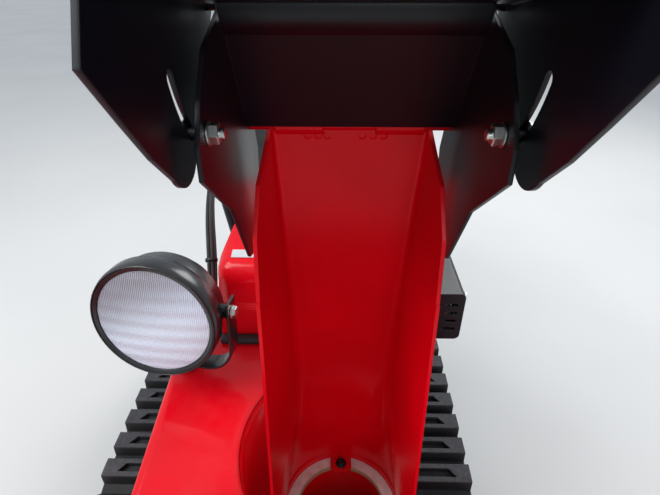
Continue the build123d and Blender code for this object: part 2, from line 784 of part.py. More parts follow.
# Belt case between drum and engine
with BuildPart() as belt_case:
    with BuildSketch(ahead(case_front_y + case_depth)):
        with BuildLine():
            low = CenterArc((0, impeller_z), case_half, 180, 180)
            high = CenterArc((crank_x, crank_z), 58, 0, 180)
            Line(low @ 1, high @ 0)
            Line(high @ 1, low @ 0)
        make_face()
    extrude(amount=case_depth)
    fillet(belt_case.faces().sort_by(Axis.Y)[-1].edges(), 6)
    with BuildSketch(ahead(case_front_y + case_depth / 2 + 1)):
        with Locations((0, impeller_z)):
            Circle(impeller_shaft + running_gap)
    extrude(amount=case_depth, mode=Mode.SUBTRACT)
belt_case.part.label = "belt_case"
export_step(belt_case.part, "parts/belt_case.step")


def cover_z(y):
    """Height of the front cover's top at y."""
    return cover_top + (y - outlet_y) * tan(radians(cover_slope))


def cover_form(inset):
    """Solid form of the front cover, shrunk inward by a wall, open below."""
    front = outlet_y - cover_front + inset
    rear = outlet_y + cover_rear
    with BuildPart() as form:
        with BuildSketch(Plane.YZ.offset(inset - cover_half)):
            Polygon((front, cover_foot), (rear, cover_foot), (rear, cover_z(rear) - inset),
                    (front, cover_z(front) - inset), align=None)
        extrude(amount=2 * (cover_half - inset))
        roof_edges = form.faces().sort_by(Axis.Z)[-1].edges()
        fillet(roof_edges.filter_by(Axis.X, reverse=True) + roof_edges.sort_by(Axis.Y)[:1],
               cover_round - inset)
    return form.part


# Front cover: a red hood over the belt drive, scooped out round the outlet
cover_outer = cover_form(0)
cover_inner = cover_form(cover_wall)
with BuildPart() as front_cover:
    add(cover_outer)
    with BuildSketch(Plane.XY.offset(recess_floor)):
        with Locations((outlet_x, outlet_y)):
            Circle(recess_radius)
    extrude(amount=cover_top, mode=Mode.SUBTRACT)
    with BuildSketch(Plane.XY.offset(cover_foot)):
        with Locations((outlet_x, outlet_y)):
            Circle(recess_hole)
    extrude(amount=cover_top, mode=Mode.SUBTRACT)
with BuildPart() as cover_hollow:
    add(cover_inner)
    with BuildSketch(Plane.XY.offset(recess_floor - cover_wall)):
        with Locations((outlet_x, outlet_y)):
            Circle(recess_radius + cover_wall)
    extrude(amount=cover_top, mode=Mode.SUBTRACT)
with BuildPart() as front_cover_shell:
    add(front_cover.part)
    add(cover_hollow.part, mode=Mode.SUBTRACT)
front_cover_shell.part.label = "front_cover"
export_step(front_cover_shell.part, "parts/front_cover.step")

# Engine: one closed block on the bed
with BuildPart() as engine_block:
    with BuildSketch(Plane.XY.offset(bed_top + fit_gap)):
        with Locations(((engine_right + engine_left) / 2, outlet_y + (engine_front + engine_rear) / 2)):
            Rectangle(engine_left - engine_right, engine_rear - engine_front)
    extrude(amount=engine_top - bed_top)
    chamfer(engine_block.faces().sort_by(Axis.Z)[-1].edges(), 14)
engine_block.part.label = "engine_block"
export_step(engine_block.part, "parts/engine_block.step")


def bonnet_form(inset):
    """Solid form of the bonnet, shrunk inward by a wall, open below."""
    front = outlet_y + bonnet_front + inset
    rear = outlet_y + bonnet_rear - inset
    with BuildPart() as form:
        with BuildSketch(Plane.YZ.offset(bonnet_right + inset)):
            Polygon((front, bonnet_foot), (rear, bonnet_foot), (rear, bonnet_crest_z - 40 - inset),
                    (rear - 60, bonnet_crest_z - inset), (front + 130, bonnet_crest_z - 6 - inset),
                    (front + bonnet_step, bonnet_brow_z - inset), (front + bonnet_step, bonnet_step_z),
                    (front, bonnet_step_z - 4), align=None)
        extrude(amount=bonnet_left - bonnet_right - 2 * inset)
        brow = form.edges().filter_by(lambda edge: edge.center().Z > bonnet_brow_z - 30)
        fillet(brow, bonnet_round - inset)
    return form.part


# Bonnet over the engine, with a shallow step across its front
bonnet_outer = bonnet_form(0)
bonnet_inner = bonnet_form(bonnet_wall)
with BuildPart() as bonnet:
    add(bonnet_outer)
    add(bonnet_inner, mode=Mode.SUBTRACT)
bonnet.part.label = "bonnet"
export_step(bonnet.part, "parts/bonnet.step")

# Skirt round the engine below the bonnet, with louvres in both sides
with BuildPart() as engine_skirt:
    with BuildSketch(Plane.XY.offset(bed_top + fit_gap)):
        with Locations(((bonnet_right + bonnet_left) / 2, outlet_y + (bonnet_front + bonnet_rear) / 2)):
            RectangleRounded(bonnet_left - bonnet_right, bonnet_rear - bonnet_front, 8)
            RectangleRounded(bonnet_left - bonnet_right - 2 * bonnet_wall,
                             bonnet_rear - bonnet_front - 2 * bonnet_wall, 5, mode=Mode.SUBTRACT)
    extrude(amount=bonnet_foot - bed_top - 2 * fit_gap)
    louvre_pitch = (bonnet_foot - bed_top - 30) / louvre_rows
    with BuildSketch(Plane.YZ.offset(bonnet_right - 5)):
        for row in range(louvre_rows):
            row_z = bed_top + 15 + (row + 0.5) * louvre_pitch
            with Locations((outlet_y + (bonnet_front + bonnet_rear) / 2, row_z)):
                SlotOverall(louvre_length, louvre_height)
    extrude(amount=bonnet_left - bonnet_right + 10, mode=Mode.SUBTRACT)
    with BuildSketch(ahead(outlet_y + bonnet_rear + 5)):
        with Locations((crank_x, crank_z)):
            Circle(starter_radius - 14)
    extrude(amount=10 + bonnet_wall, mode=Mode.SUBTRACT)
engine_skirt.part.label = "engine_skirt"
export_step(engine_skirt.part, "parts/engine_skirt.step")

# Rubber strip between the cover and the bonnet
with BuildPart() as bonnet_seal:
    with BuildSketch(Plane.YZ.offset(bonnet_right)):
        Polygon((outlet_y + cover_rear - 14, cover_z(outlet_y + cover_rear - 14) + fit_gap),
                (outlet_y + cover_rear, cover_z(outlet_y + cover_rear) + fit_gap),
                (outlet_y + bonnet_front - fit_gap, seal_z), (outlet_y + bonnet_front - fit_gap, seal_z + seal_height),
                (outlet_y + cover_rear - 14, seal_z + seal_height), align=None)
    extrude(amount=bonnet_left - bonnet_right - 30)
bonnet_seal.part.label = "bonnet_seal"
export_step(bonnet_seal.part, "parts/bonnet_seal.step")

# Recoil starter behind the engine
with BuildPart() as recoil_starter:
    with BuildSketch(ahead(outlet_y + bonnet_rear + fit_gap)):
        with Locations((crank_x + 15, crank_z)):
            Circle(starter_radius)
    extrude(amount=-starter_depth)
    fillet(recoil_starter.faces().sort_by(Axis.Y)[-1].edges(), 10)
    with BuildSketch(ahead(outlet_y + bonnet_rear + fit_gap + starter_depth)):
        with Locations((crank_x + 15, crank_z)):
            with PolarLocations(44, 10):
                SlotOverall(34, 7, rotation=0)
    extrude(amount=12, mode=Mode.SUBTRACT)
recoil_starter.part.label = "recoil_starter"
export_step(recoil_starter.part, "parts/recoil_starter.step")

# Muffler inside its guard
guard_y = outlet_y + guard_front
muffler_x = (guard_right + guard_left) / 2
muffler_z = (guard_foot + guard_top) / 2
with BuildPart() as muffler:
    with BuildSketch(ahead(guard_y + 12)):
        with Locations((muffler_x, muffler_z)):
            Circle(muffler_radius)
    extrude(amount=-(guard_length - 24))
    fillet(muffler.faces().sort_by(Axis.Y)[-1].edges() + muffler.faces().sort_by(Axis.Y)[0].edges(), 8)
    with BuildSketch(Plane.YZ.offset(muffler_x)):
        with Locations((guard_y + guard_length / 2, muffler_z)):
            Circle(13)
    extrude(amount=bonnet_left + fit_gap - muffler_x)
muffler.part.label = "muffler"
export_step(muffler.part, "parts/muffler.step")

with BuildPart() as muffler_guard:
    with BuildSketch(ahead(guard_y + guard_length)):
        with Locations((muffler_x, muffler_z)):
            RectangleRounded(guard_left - guard_right, guard_top - guard_foot, 9)
    extrude(amount=guard_length)
    with BuildSketch(ahead(guard_y + guard_length - guard_sheet)):
        with Locations((muffler_x, muffler_z)):
            RectangleRounded(guard_left - guard_right - 2 * guard_sheet,
                             guard_top - guard_foot - 2 * guard_sheet, 6)
    extrude(amount=guard_length - 2 * guard_sheet, mode=Mode.SUBTRACT)
    with BuildSketch(Plane.YZ.offset(guard_right - 1)):
        with Locations((guard_y + guard_length / 2, muffler_z)):
            Circle(16)
    extrude(amount=guard_sheet + 2, mode=Mode.SUBTRACT)
    slot_rows = int((guard_top - guard_foot - 24) / guard_slot_pitch)
    with BuildSketch(ahead(guard_y + guard_sheet + 1)):
        with Locations((muffler_x, muffler_z)):
            with GridLocations(28, guard_slot_pitch, 3, slot_rows):
                SlotOverall(20, guard_slot_height)
    extrude(amount=guard_sheet + 2, mode=Mode.SUBTRACT)
    with BuildSketch(Plane.YZ.offset(guard_left - guard_sheet - 1)):
        with Locations((guard_y + guard_length / 2, muffler_z)):
            with GridLocations(36, guard_slot_pitch, 5, slot_rows):
                SlotOverall(28, guard_slot_height)
    extrude(amount=guard_sheet + 2, mode=Mode.SUBTRACT)
    with BuildSketch(Plane.YZ.offset(bonnet_left + fit_gap)):
        with Locations((guard_y + 40, muffler_z), (guard_y + guard_length - 40, muffler_z)):
            Rectangle(24, 40)
    extrude(amount=guard_right - bonnet_left - fit_gap)
muffler_guard.part.label = "muffler_guard"
export_step(muffler_guard.part, "parts/muffler_guard.step")

# Rear column that carries the console
with BuildPart() as rear_column:
    with BuildSketch(Plane.YZ.offset(-column_half)):
        Polygon((column_front, bed_top + fit_gap), (bed_rear_y, bed_top + fit_gap), column_waist,
                column_top_rear, column_top_front, (column_front, tank_top), align=None)
    extrude(amount=2 * column_half)
    fillet(rear_column.edges().filter_by(lambda edge: edge.center().Y > bed_rear_y).filter_by(Axis.X, reverse=True), 12)
rear_column.part.label = "rear_column"
export_step(rear_column.part, "parts/rear_column.step")

# Fuel tank ahead of the column, with its cap
with BuildPart() as fuel_tank:
    with BuildSketch(Plane.XY.offset(tank_foot)):
        with Locations(((tank_right + tank_left) / 2, (tank_front + column_front) / 2)):
            Rectangle(tank_left - tank_right, column_front - tank_front - 2 * fit_gap)
    extrude(amount=tank_top - tank_foot)
    fillet(fuel_tank.edges().filter_by(lambda edge: edge.center().Y < column_front - 10), tank_round)
    with BuildSketch(Plane.XY.offset(tank_top - 1)):
        with Locations((tank_left - 60, (tank_front + column_front) / 2)):
            Circle(32)
    extrude(amount=20)
fuel_tank.part.label = "fuel_tank"
export_step(fuel_tank.part, "parts/fuel_tank.step")

# Console: a wedge that faces the operator
seat_slope = (column_top_rear[1] - column_top_front[1]) / (column_top_rear[0] - column_top_front[0])
with BuildPart() as console:
    with BuildSketch(Plane.YZ.offset(-console_half)):
        Polygon((console_front, column_top_front[1] + fit_gap + (console_front - column_top_front[0]) * seat_slope),
                (column_top_rear[0], column_top_rear[1] + fit_gap), (console_rear, column_top_rear[1] + 30),
                (console_rear, console_heel_z), console_brow, (console_front, console_brow[1] - 10), align=None)
    extrude(amount=2 * console_half)
    fillet(console.edges().filter_by(lambda edge: edge.center().Z > console_heel_z - 5), 9)
console.part.label = "console"
export_step(console.part, "parts/console.step")

# Control levers, square to the console's face
lever_xs = (-140.0, -70.0, 20.0, 80.0, 140.0)
lever_y = console_rear - 80.0
lever_length = 58.0
face_run = console_rear - console_brow[0]
face_drop = console_brow[1] - console_heel_z
face_length = hypot(face_run, face_drop)
face_out = (0, face_drop / face_length, face_run / face_length)
lever_z = console_heel_z + (console_rear - lever_y) * face_drop / face_run
with BuildPart() as control_levers:
    for lever_x in lever_xs:
        foot = Plane(origin=(lever_x, lever_y, lever_z), x_dir=(1, 0, 0), z_dir=face_out)
        with BuildSketch(foot.offset(fit_gap)):
            SlotOverall(60, 22, rotation=90)
        extrude(amount=3)
        with BuildSketch(foot.offset(fit_gap)):
            Circle(4)
        extrude(amount=lever_length)
        with BuildSketch(foot.offset(lever_length)):
            Circle(10)
        extrude(amount=34)
    fillet(control_levers.edges().filter_by(GeomType.CIRCLE).group_by(Axis.Z)[-1], 4)
control_levers.part.label = "control_levers"
export_step(control_levers.part, "parts/control_levers.step")

# Handlebars: bent tubes from the frame up to the grips, with half of the crossbar each
bar_x = frame_half + bar_radius + fit_gap
bar_z = bed_z - bar_radius - fit_gap
bar_knee = (228.0, console_rear - 140.0, 600.0)
bar_wrist = (grip_x, console_rear + 2.0, grip_z)
bar_bend = 60.0
crossbar_radius = 11.0
crossbar_z = 770.0
waist_run = column_top_rear[0] - column_waist[0]
waist_rise = column_top_rear[1] - column_waist[1]
waist_length = hypot(waist_run, waist_rise)
crossbar_y = (column_waist[0] + (crossbar_z - column_waist[1]) * waist_run / waist_rise
              + (crossbar_radius + fit_gap) * waist_length / waist_rise)
for way, side in ((1, "left"), (-1, "right")):
    with BuildPart() as handlebar:
        with BuildLine() as route:
            FilletPolyline((way * bar_x, sprocket_y - 113, bar_z), (way * bar_x, sprocket_y + 75, bar_z),
                           (way * bar_knee[0], bar_knee[1], bar_knee[2]),
                           (way * bar_wrist[0], bar_wrist[1], bar_wrist[2]),
                           (way * grip_x, grip_end_y - grip_wall, grip_z), radius=bar_bend)
        with BuildSketch(Plane(origin=route.line @ 0, z_dir=route.line % 0)):
            Circle(bar_radius)
        sweep()
        with BuildSketch(Plane.YZ.offset(way * fit_gap / 2)):
            with Locations((crossbar_y, crossbar_z)):
                Circle(crossbar_radius)
        extrude(amount=way * (grip_x - 18))
    handlebar.part.label = "handlebar_" + side
    export_step(handlebar.part, f"parts/handlebar_{side}.step")

# Rubber grips over the ends of the bars
with BuildPart() as grips:
    for way in (1, -1):
        with BuildSketch(ahead(grip_end_y)):
            with Locations((way * grip_x, grip_z)):
                Circle(bar_radius + grip_wall)
        extrude(amount=grip_length)
        with BuildSketch(ahead(grip_end_y - grip_wall)):
            with Locations((way * grip_x, grip_z)):
                Circle(bar_radius)
        extrude(amount=grip_length, mode=Mode.SUBTRACT)
grips.part.label = "grips"
export_step(grips.part, "parts/grips.step")

# Clutch levers below the grips
clutch_y = grip_end_y - grip_length - 4
with BuildPart() as clutch_levers:
    for way in (1, -1):
        with BuildSketch(Plane.YZ.offset(way * grip_x - 5)):
            with Locations((clutch_y, grip_z - bar_radius - fit_gap)):
                Polygon((-18, 0), (0, 0), (6, -16), (104, -24), (106, -34), (6, -34), (-18, -20), align=None)
        extrude(amount=10)
clutch_levers.part.label = "clutch_levers"
export_step(clutch_levers.part, "parts/clutch_levers.step")

# Work lamp: bowl, rim and lens on a strap bracket
yaw = radians(lamp_yaw)
tilt = radians(lamp_tilt)
lamp_front = Vector(sin(yaw) * cos(tilt), -cos(yaw) * cos(tilt), sin(tilt))
lamp_side = Vector(cos(yaw), sin(yaw), 0)
lamp_centre = Vector(lamp_x, outlet_y + lamp_reach, lamp_z)
lamp_plane = Plane(origin=lamp_centre, x_dir=lamp_side, z_dir=lamp_front)
lamp_section = Plane(origin=lamp_centre, x_dir=lamp_side, z_dir=lamp_plane.y_dir * -1)
lamp_line = Axis(lamp_centre, lamp_front)
with BuildPart() as lamp_housing:
    with BuildSketch(lamp_section):
        with BuildLine():
            front = Line((0, -8), (lens_radius - 4, -8))
            lip_line = Polyline(front @ 1, (lens_radius, 0), (rim_radius, 0), (rim_radius, -rim_depth),
                                (bowl_radius + 1, -rim_depth - 3))
            bowl = RadiusArc(lip_line @ 1, (lamp_cap_radius, -lamp_depth + 12), 90)
            Polyline(bowl @ 1, (lamp_cap_radius, -lamp_depth), (0, -lamp_depth), (0, -8))
        make_face()
    revolve(axis=lamp_line)
lamp_housing.part.label = "lamp_housing"
export_step(lamp_housing.part, "parts/lamp_housing.step")

lens_half = lens_radius - 5
dome_radius = 300.0
with BuildPart() as lamp_lens:
    with BuildSketch(lamp_section):
        with BuildLine():
            dome = CenterArc((0, 5 - dome_radius), dome_radius, 90, -degrees(asin(lens_half / dome_radius)))
            Polyline(dome @ 1, (lens_half, fit_gap - 8), (0, fit_gap - 8), dome @ 0)
        make_face()
    revolve(axis=lamp_line)
lamp_lens.part.label = "lamp_lens"
export_step(lamp_lens.part, "parts/lamp_lens.step")

foot_y = outlet_y + 89.5
foot_x = -95.0
with BuildPart() as lamp_bracket:
    strap_inner = bowl_radius + 1.1
    strap_outer = strap_inner + strap_sheet
    with BuildSketch(lamp_plane.offset(-strap_back - strap_width / 2)):
        Circle(strap_outer)
        Circle(strap_inner, mode=Mode.SUBTRACT)
        with Locations((0, strap_outer)):
            Rectangle(2.2 * strap_outer, 2 * strap_outer - 8, mode=Mode.SUBTRACT)
        with Locations(((strap_inner + strap_outer) / 2, 4), (-(strap_inner + strap_outer) / 2, 4)):
            Rectangle(strap_sheet, 20)
    extrude(amount=strap_width)
    strap_foot = lamp_centre - lamp_front * strap_back
    with BuildSketch(Plane.XY.offset(cover_z(foot_y) + 3)):
        with Locations((foot_x, foot_y)):
            Rectangle(44, 30)
    extrude(amount=3)
    with BuildSketch(Plane.XY.offset(cover_z(foot_y) + 3)):
        with Locations((foot_x, foot_y)):
            Rectangle(30, strap_sheet)
    with BuildSketch(Plane(origin=(strap_foot.X, strap_foot.Y, strap_foot.Z - strap_inner - 2))):
        Rectangle(30, strap_sheet)
    loft()
lamp_bracket.part.label = "lamp_bracket"
export_step(lamp_bracket.part, "parts/lamp_bracket.step")

# Control cables: one tied bundle from the drum's upright to the console
cable_start_y = frame_front_y + frame_sheet + fit_gap
cable_run = console_front - 1.0 - cable_start_y
cable_stations = (          # x, share of the run, z
    (-95.0, 0.0, 592.0),
    (-95.0, 0.0875, 592.0),
    (-97.0, 0.1714, 640.0),
    (-102.0, 0.2463, 706.0),
    (-116.0, 0.3572, 756.0),
    (-130.0, 0.507, 784.0),
    (-140.0, 0.6719, 808.0),
    (-144.0, 0.8367, 848.0),
    (-143.0, 1.0, 852.0),
)
cable_points = [(x, cable_start_y + share * cable_run, z) for x, share, z in cable_stations]
cable_radii = []
for before, point, after in zip(cable_points, cable_points[1:], cable_points[2:]):
    run_in = Vector(*point) - Vector(*before)
    run_out = Vector(*after) - Vector(*point)
    turn = radians(run_in.get_angle(run_out))
    cable_radii.append(0.45 * min(run_in.length, run_out.length) / tan(turn / 2))
print("cable radii", [round(radius) for radius in cable_radii])
with BuildPart() as control_cables:
    with BuildLine() as cable_route:
        FilletPolyline(*cable_points, radius=cable_radii)
    with BuildSketch(Plane(origin=cable_route.line @ 0, z_dir=cable_route.line % 0)):
        Circle(cable_radius)
    sweep()
cable_length = sum(edge.length for edge in cable_route.edges())
print("cable volume ratio", round(control_cables.part.volume / (pi * cable_radius ** 2 * cable_length), 4))
control_cables.part.label = "control_cables"
export_step(control_cables.part, "parts/control_cables.step")

# Wear ring that seats the chute on the outlet
with BuildPart() as chute_ring:
    with BuildSketch(Plane.XY.offset(outlet_top + ring_play)):
        with Locations((outlet_x, outlet_y)):
            Circle(ring_outer)
            Circle(ring_inner, mode=Mode.SUBTRACT)
    extrude(amount=ring_height)
chute_ring.part.label = "chute_ring"
export_step(chute_ring.part, "parts/chute_ring.step")

# Chute: an open channel that fades from round at the ring to folded at the hinge.
# Columns: height, back behind the axis, half width at the back, half width at the front,
# front ahead of the axis, radius of the folds
chute_rows = (
    (ring_top + collar_rise, 75.5, 77.0, 77.0, 76.0, 70.0),
    (600.0, 58.0, 58.5, 75.0, 77.0, 26.0),
    (800.0, 31.0, 57.0, 71.0, 70.0, 10.0),
    (hinge_z + 4.0, 4.5, 62.0, 68.5, 62.0, 6.0),
)


def channel_line(sections, height, back, back_half, front_half, front, fold):
    """One horizontal section through the chute's sheet."""
    with BuildSketch(Plane(origin=(outlet_x, outlet_y, height))) as section:
        with BuildLine():
            outside = FilletPolyline((front_half, -front), (back_half, back), (-back_half, back),
                                     (-front_half, -front), radius=fold)
            inside = FilletPolyline((front_half - chute_sheet, -front), (back_half - chute_sheet, back - chute_sheet),
                                    (chute_sheet - back_half, back - chute_sheet),
                                    (chute_sheet - front_half, -front), radius=fold - chute_sheet)
            Line(outside @ 0, inside @ 0)
            Line(outside @ 1, inside @ 1)
        make_face()
    sections.append(section.sketch)


chute_sections = []
for row in chute_rows:
    channel_line(chute_sections, *row)
with BuildPart() as chute:
    loft(chute_sections, ruled=True)
    with BuildSketch(Plane.YZ.offset(outlet_x)):
        Polygon((hinge_y + 20, hinge_z + 20), (hinge_y + 20, hinge_z), (hinge_y, hinge_z),
                (outlet_y - 42.5, 962.5), (outlet_y - 60.5, 928.6), (outlet_y - 66, 875),
                (outlet_y - 120, 875), (outlet_y - 120, hinge_z + 20), align=None)
    extrude(amount=2 * plate_half, both=True, mode=Mode.SUBTRACT)
    with BuildSketch(Plane.XY.offset(ring_top - collar_drop)):
        with Locations((outlet_x, outlet_y)):
            Circle(collar_radius)
            Circle(collar_bore, mode=Mode.SUBTRACT)
    extrude(amount=collar_drop + collar_rise)
    with BuildSketch(Plane.XY.offset(ring_top + fit_gap)):
        with Locations((outlet_x, outlet_y + collar_bore + 1 - tab_reach / 2)):
            RectangleRounded(tab_width, tab_reach, 6)
        with Locations((outlet_x, outlet_y + collar_bore - tab_reach / 2)):
            Circle(tab_hole, mode=Mode.SUBTRACT)
    extrude(amount=2.5)
    with BuildSketch(Plane.YZ.offset(outlet_x)):
        with Locations((hinge_y, hinge_z)):
            Circle(hinge_pin)
    extrude(amount=plate_half + deflector_sheet + 2, both=True)
    for knuckle_x in (-38, 38):
        with BuildSketch(Plane.YZ.offset(outlet_x + knuckle_x)):
            with Locations((hinge_y, hinge_z)):
                Circle(knuckle)
        extrude(amount=18, both=True)
chute.part.label = "chute"
export_step(chute.part, "parts/chute.step")

# Middle deflector: back panel between two side plates
lean_way = (-sin(radians(lean)), cos(radians(lean)))
with BuildPart() as deflector_middle:
    for plate_x in (outlet_x - plate_half - deflector_sheet, outlet_x + plate_half):
        with BuildSketch(Plane.YZ.offset(plate_x)):
            Polygon((hinge_y + 10, hinge_z + 8), (outlet_y + 28, 966), (outlet_y + 18, 915),
                    (outlet_y - 15, 893), (outlet_y - 42, 902), (outlet_y - 78, 961),
                    (outlet_y - 129, 1003), (outlet_y - 128, 1020), (outlet_y - 115, 1040),
                    (outlet_y - 95, 1060), (tip_y - 7, tip_z - 3), (tip_y - 2, tip_z + 8),
                    (tip_y + 7, tip_z + 4), align=None)
            with Locations((hinge_y, hinge_z)):
                Circle(hinge_pin + running_gap, mode=Mode.SUBTRACT)
        extrude(amount=deflector_sheet)
    panel_foot = (hinge_y + panel_start * lean_way[0] - panel_ahead * lean_way[1],
                  hinge_z + panel_start * lean_way[1] + panel_ahead * lean_way[0])
    with BuildSketch(Plane(origin=(outlet_x, panel_foot[0], panel_foot[1]), x_dir=(1, 0, 0),
                           z_dir=(0, lean_way[0], lean_way[1]))):
        Rectangle(2 * plate_half + 1, deflector_sheet)
    extrude(amount=middle_length - 1.6 * panel_start)
    with BuildSketch(Plane.YZ.offset(outlet_x)):
        with Locations((tip_y, tip_z)):
            Circle(hinge_pin)
    extrude(amount=ear_half + deflector_sheet + 2, both=True)
    for plate_x, out in ((outlet_x + plate_half, 1), (outlet_x - plate_half, -1)):
        with BuildSketch(Plane.YZ.offset(plate_x)):
            with Locations((bolt_y, bolt_z)):
                Circle(bolt_radius)
        extrude(amount=out * (ear_half - plate_half + deflector_sheet + 6))
deflector_middle.part.label = "deflector_middle"
export_step(deflector_middle.part, "parts/deflector_middle.step")

# Tip deflector: hood between two ears, each with an arc slot round the bolt
slot_radius = hypot(bolt_y - tip_y, bolt_z - tip_z)
slot_angle = degrees(atan2(bolt_z - tip_z, bolt_y - tip_y))
hood_way = (-cos(radians(tip_rise)), sin(radians(tip_rise)))
hood_end = (tip_y + tip_length * hood_way[0], tip_z + tip_length * hood_way[1])
with BuildPart() as deflector_tip:
    for plate_x in (outlet_x - ear_half - deflector_sheet, outlet_x + ear_half):
        with BuildSketch(Plane.YZ.offset(plate_x)):
            with BuildLine():
                crown = Polyline((tip_y + 10, tip_z - 4), (tip_y + 6, tip_z + 10), hood_end,
                                 (outlet_y - 200, 1070), (outlet_y - 181, 1048), (outlet_y - 163, 1028),
                                 (outlet_y - 143, 1010))
                chin = RadiusArc(crown @ 1, (outlet_y - 112, 1004), -22)
                Line(chin @ 1, crown @ 0)
            make_face()
            with Locations((tip_y, tip_z)):
                Circle(hinge_pin + running_gap, mode=Mode.SUBTRACT)
            with BuildLine():
                slot_out = CenterArc((tip_y, tip_z), slot_radius + slot_half, slot_angle - slot_sweep, slot_sweep)
                slot_in = CenterArc((tip_y, tip_z), slot_radius - slot_half, slot_angle - slot_sweep, slot_sweep)
                Line(slot_out @ 0, slot_in @ 0)
                Line(slot_out @ 1, slot_in @ 1)
            make_face(mode=Mode.SUBTRACT)
            with Locations(((slot_out @ 0) + (slot_in @ 0)) * 0.5, ((slot_out @ 1) + (slot_in @ 1)) * 0.5):
                Circle(slot_half, mode=Mode.SUBTRACT)
        extrude(amount=deflector_sheet)
    hood_foot = (tip_y + hood_start * hood_way[0], tip_z + hood_start * hood_way[1])
    with BuildSketch(Plane(origin=(outlet_x, hood_foot[0], hood_foot[1]), x_dir=(1, 0, 0),
                           z_dir=(0, hood_way[0], hood_way[1]))):
        Rectangle(2 * ear_half + 1, deflector_sheet)
    extrude(amount=tip_length - hood_start)
deflector_tip.part.label = "deflector_tip"
export_step(deflector_tip.part, "parts/deflector_tip.step")
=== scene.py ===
"""Looks of the tracked snow blower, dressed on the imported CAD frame.

Places are in metres on the frame's own axes: X to the machine's left, Y to its rear, Z up. Profiles,
outlines, radii and thicknesses are in millimetres, unless their comment says otherwise.
"""

import logging
import math
from collections.abc import Callable, Iterable, Iterator, Sequence
from contextlib import contextmanager
from dataclasses import dataclass
from enum import Enum

import bpy
from mathutils import Matrix, Vector


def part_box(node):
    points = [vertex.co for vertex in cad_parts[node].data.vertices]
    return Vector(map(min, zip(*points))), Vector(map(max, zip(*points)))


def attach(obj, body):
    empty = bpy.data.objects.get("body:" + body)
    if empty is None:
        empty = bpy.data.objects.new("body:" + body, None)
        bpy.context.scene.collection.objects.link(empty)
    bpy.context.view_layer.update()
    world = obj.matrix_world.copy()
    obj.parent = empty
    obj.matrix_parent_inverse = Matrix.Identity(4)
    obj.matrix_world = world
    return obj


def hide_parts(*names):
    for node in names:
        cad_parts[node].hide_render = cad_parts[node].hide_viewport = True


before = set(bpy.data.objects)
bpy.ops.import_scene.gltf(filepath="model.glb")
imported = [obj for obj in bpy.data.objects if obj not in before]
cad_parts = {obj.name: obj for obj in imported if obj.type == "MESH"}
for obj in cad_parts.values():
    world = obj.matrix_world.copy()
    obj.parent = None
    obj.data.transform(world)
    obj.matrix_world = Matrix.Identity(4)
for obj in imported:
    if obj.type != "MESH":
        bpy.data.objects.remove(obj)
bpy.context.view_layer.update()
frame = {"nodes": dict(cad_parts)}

MM = 0.001
UP = Vector((0, 0, 1))
AHEAD = Vector((0, -1, 0))
BACK = Vector((0, 1, 0))
LEFT = Vector((1, 0, 0))
SIDES = (1, -1)                   # the machine's left and its right
HERE = Matrix.Identity(4)
MERGE = 0.00001                   # points closer than this in m become one
WEAR_PATCHES = 45.0               # noise cells per m: worn patches of 22 mm
DUST_DRIFTS = 26.0                # noise cells per m: drifts of 38 mm
# partly painted highlight: noise for the grey on the track lugs' crests, which stands for their lit tops as
# well as for rubbing
CREST_RUB_AND_HIGHLIGHT_CELLS = 150.0                # noise cells per m: 7 mm, coarser than real grit, to show

Node = bpy.types.Node
Link = bpy.types.Node | bpy.types.NodeSocket
Piece = bpy.types.Object
Outline = Sequence[tuple[float, float]]
Seats = list[tuple[Vector, Vector]]

log = logging.getLogger("snow_blower")


def linear(code: str) -> tuple[float, float, float, float]:
    """Turns an sRGB hex colour into the linear colour that a shader takes.

    Args:
        code: six hex digits.

    Returns:
        Linear red, green, blue and an alpha of 1.
    """
    parts = (int(code[at:at + 2], 16) / 255 for at in (0, 2, 4))
    return (*(c / 12.92 if c <= 0.04045 else ((c + 0.055) / 1.055) ** 2.4 for c in parts), 1.0)


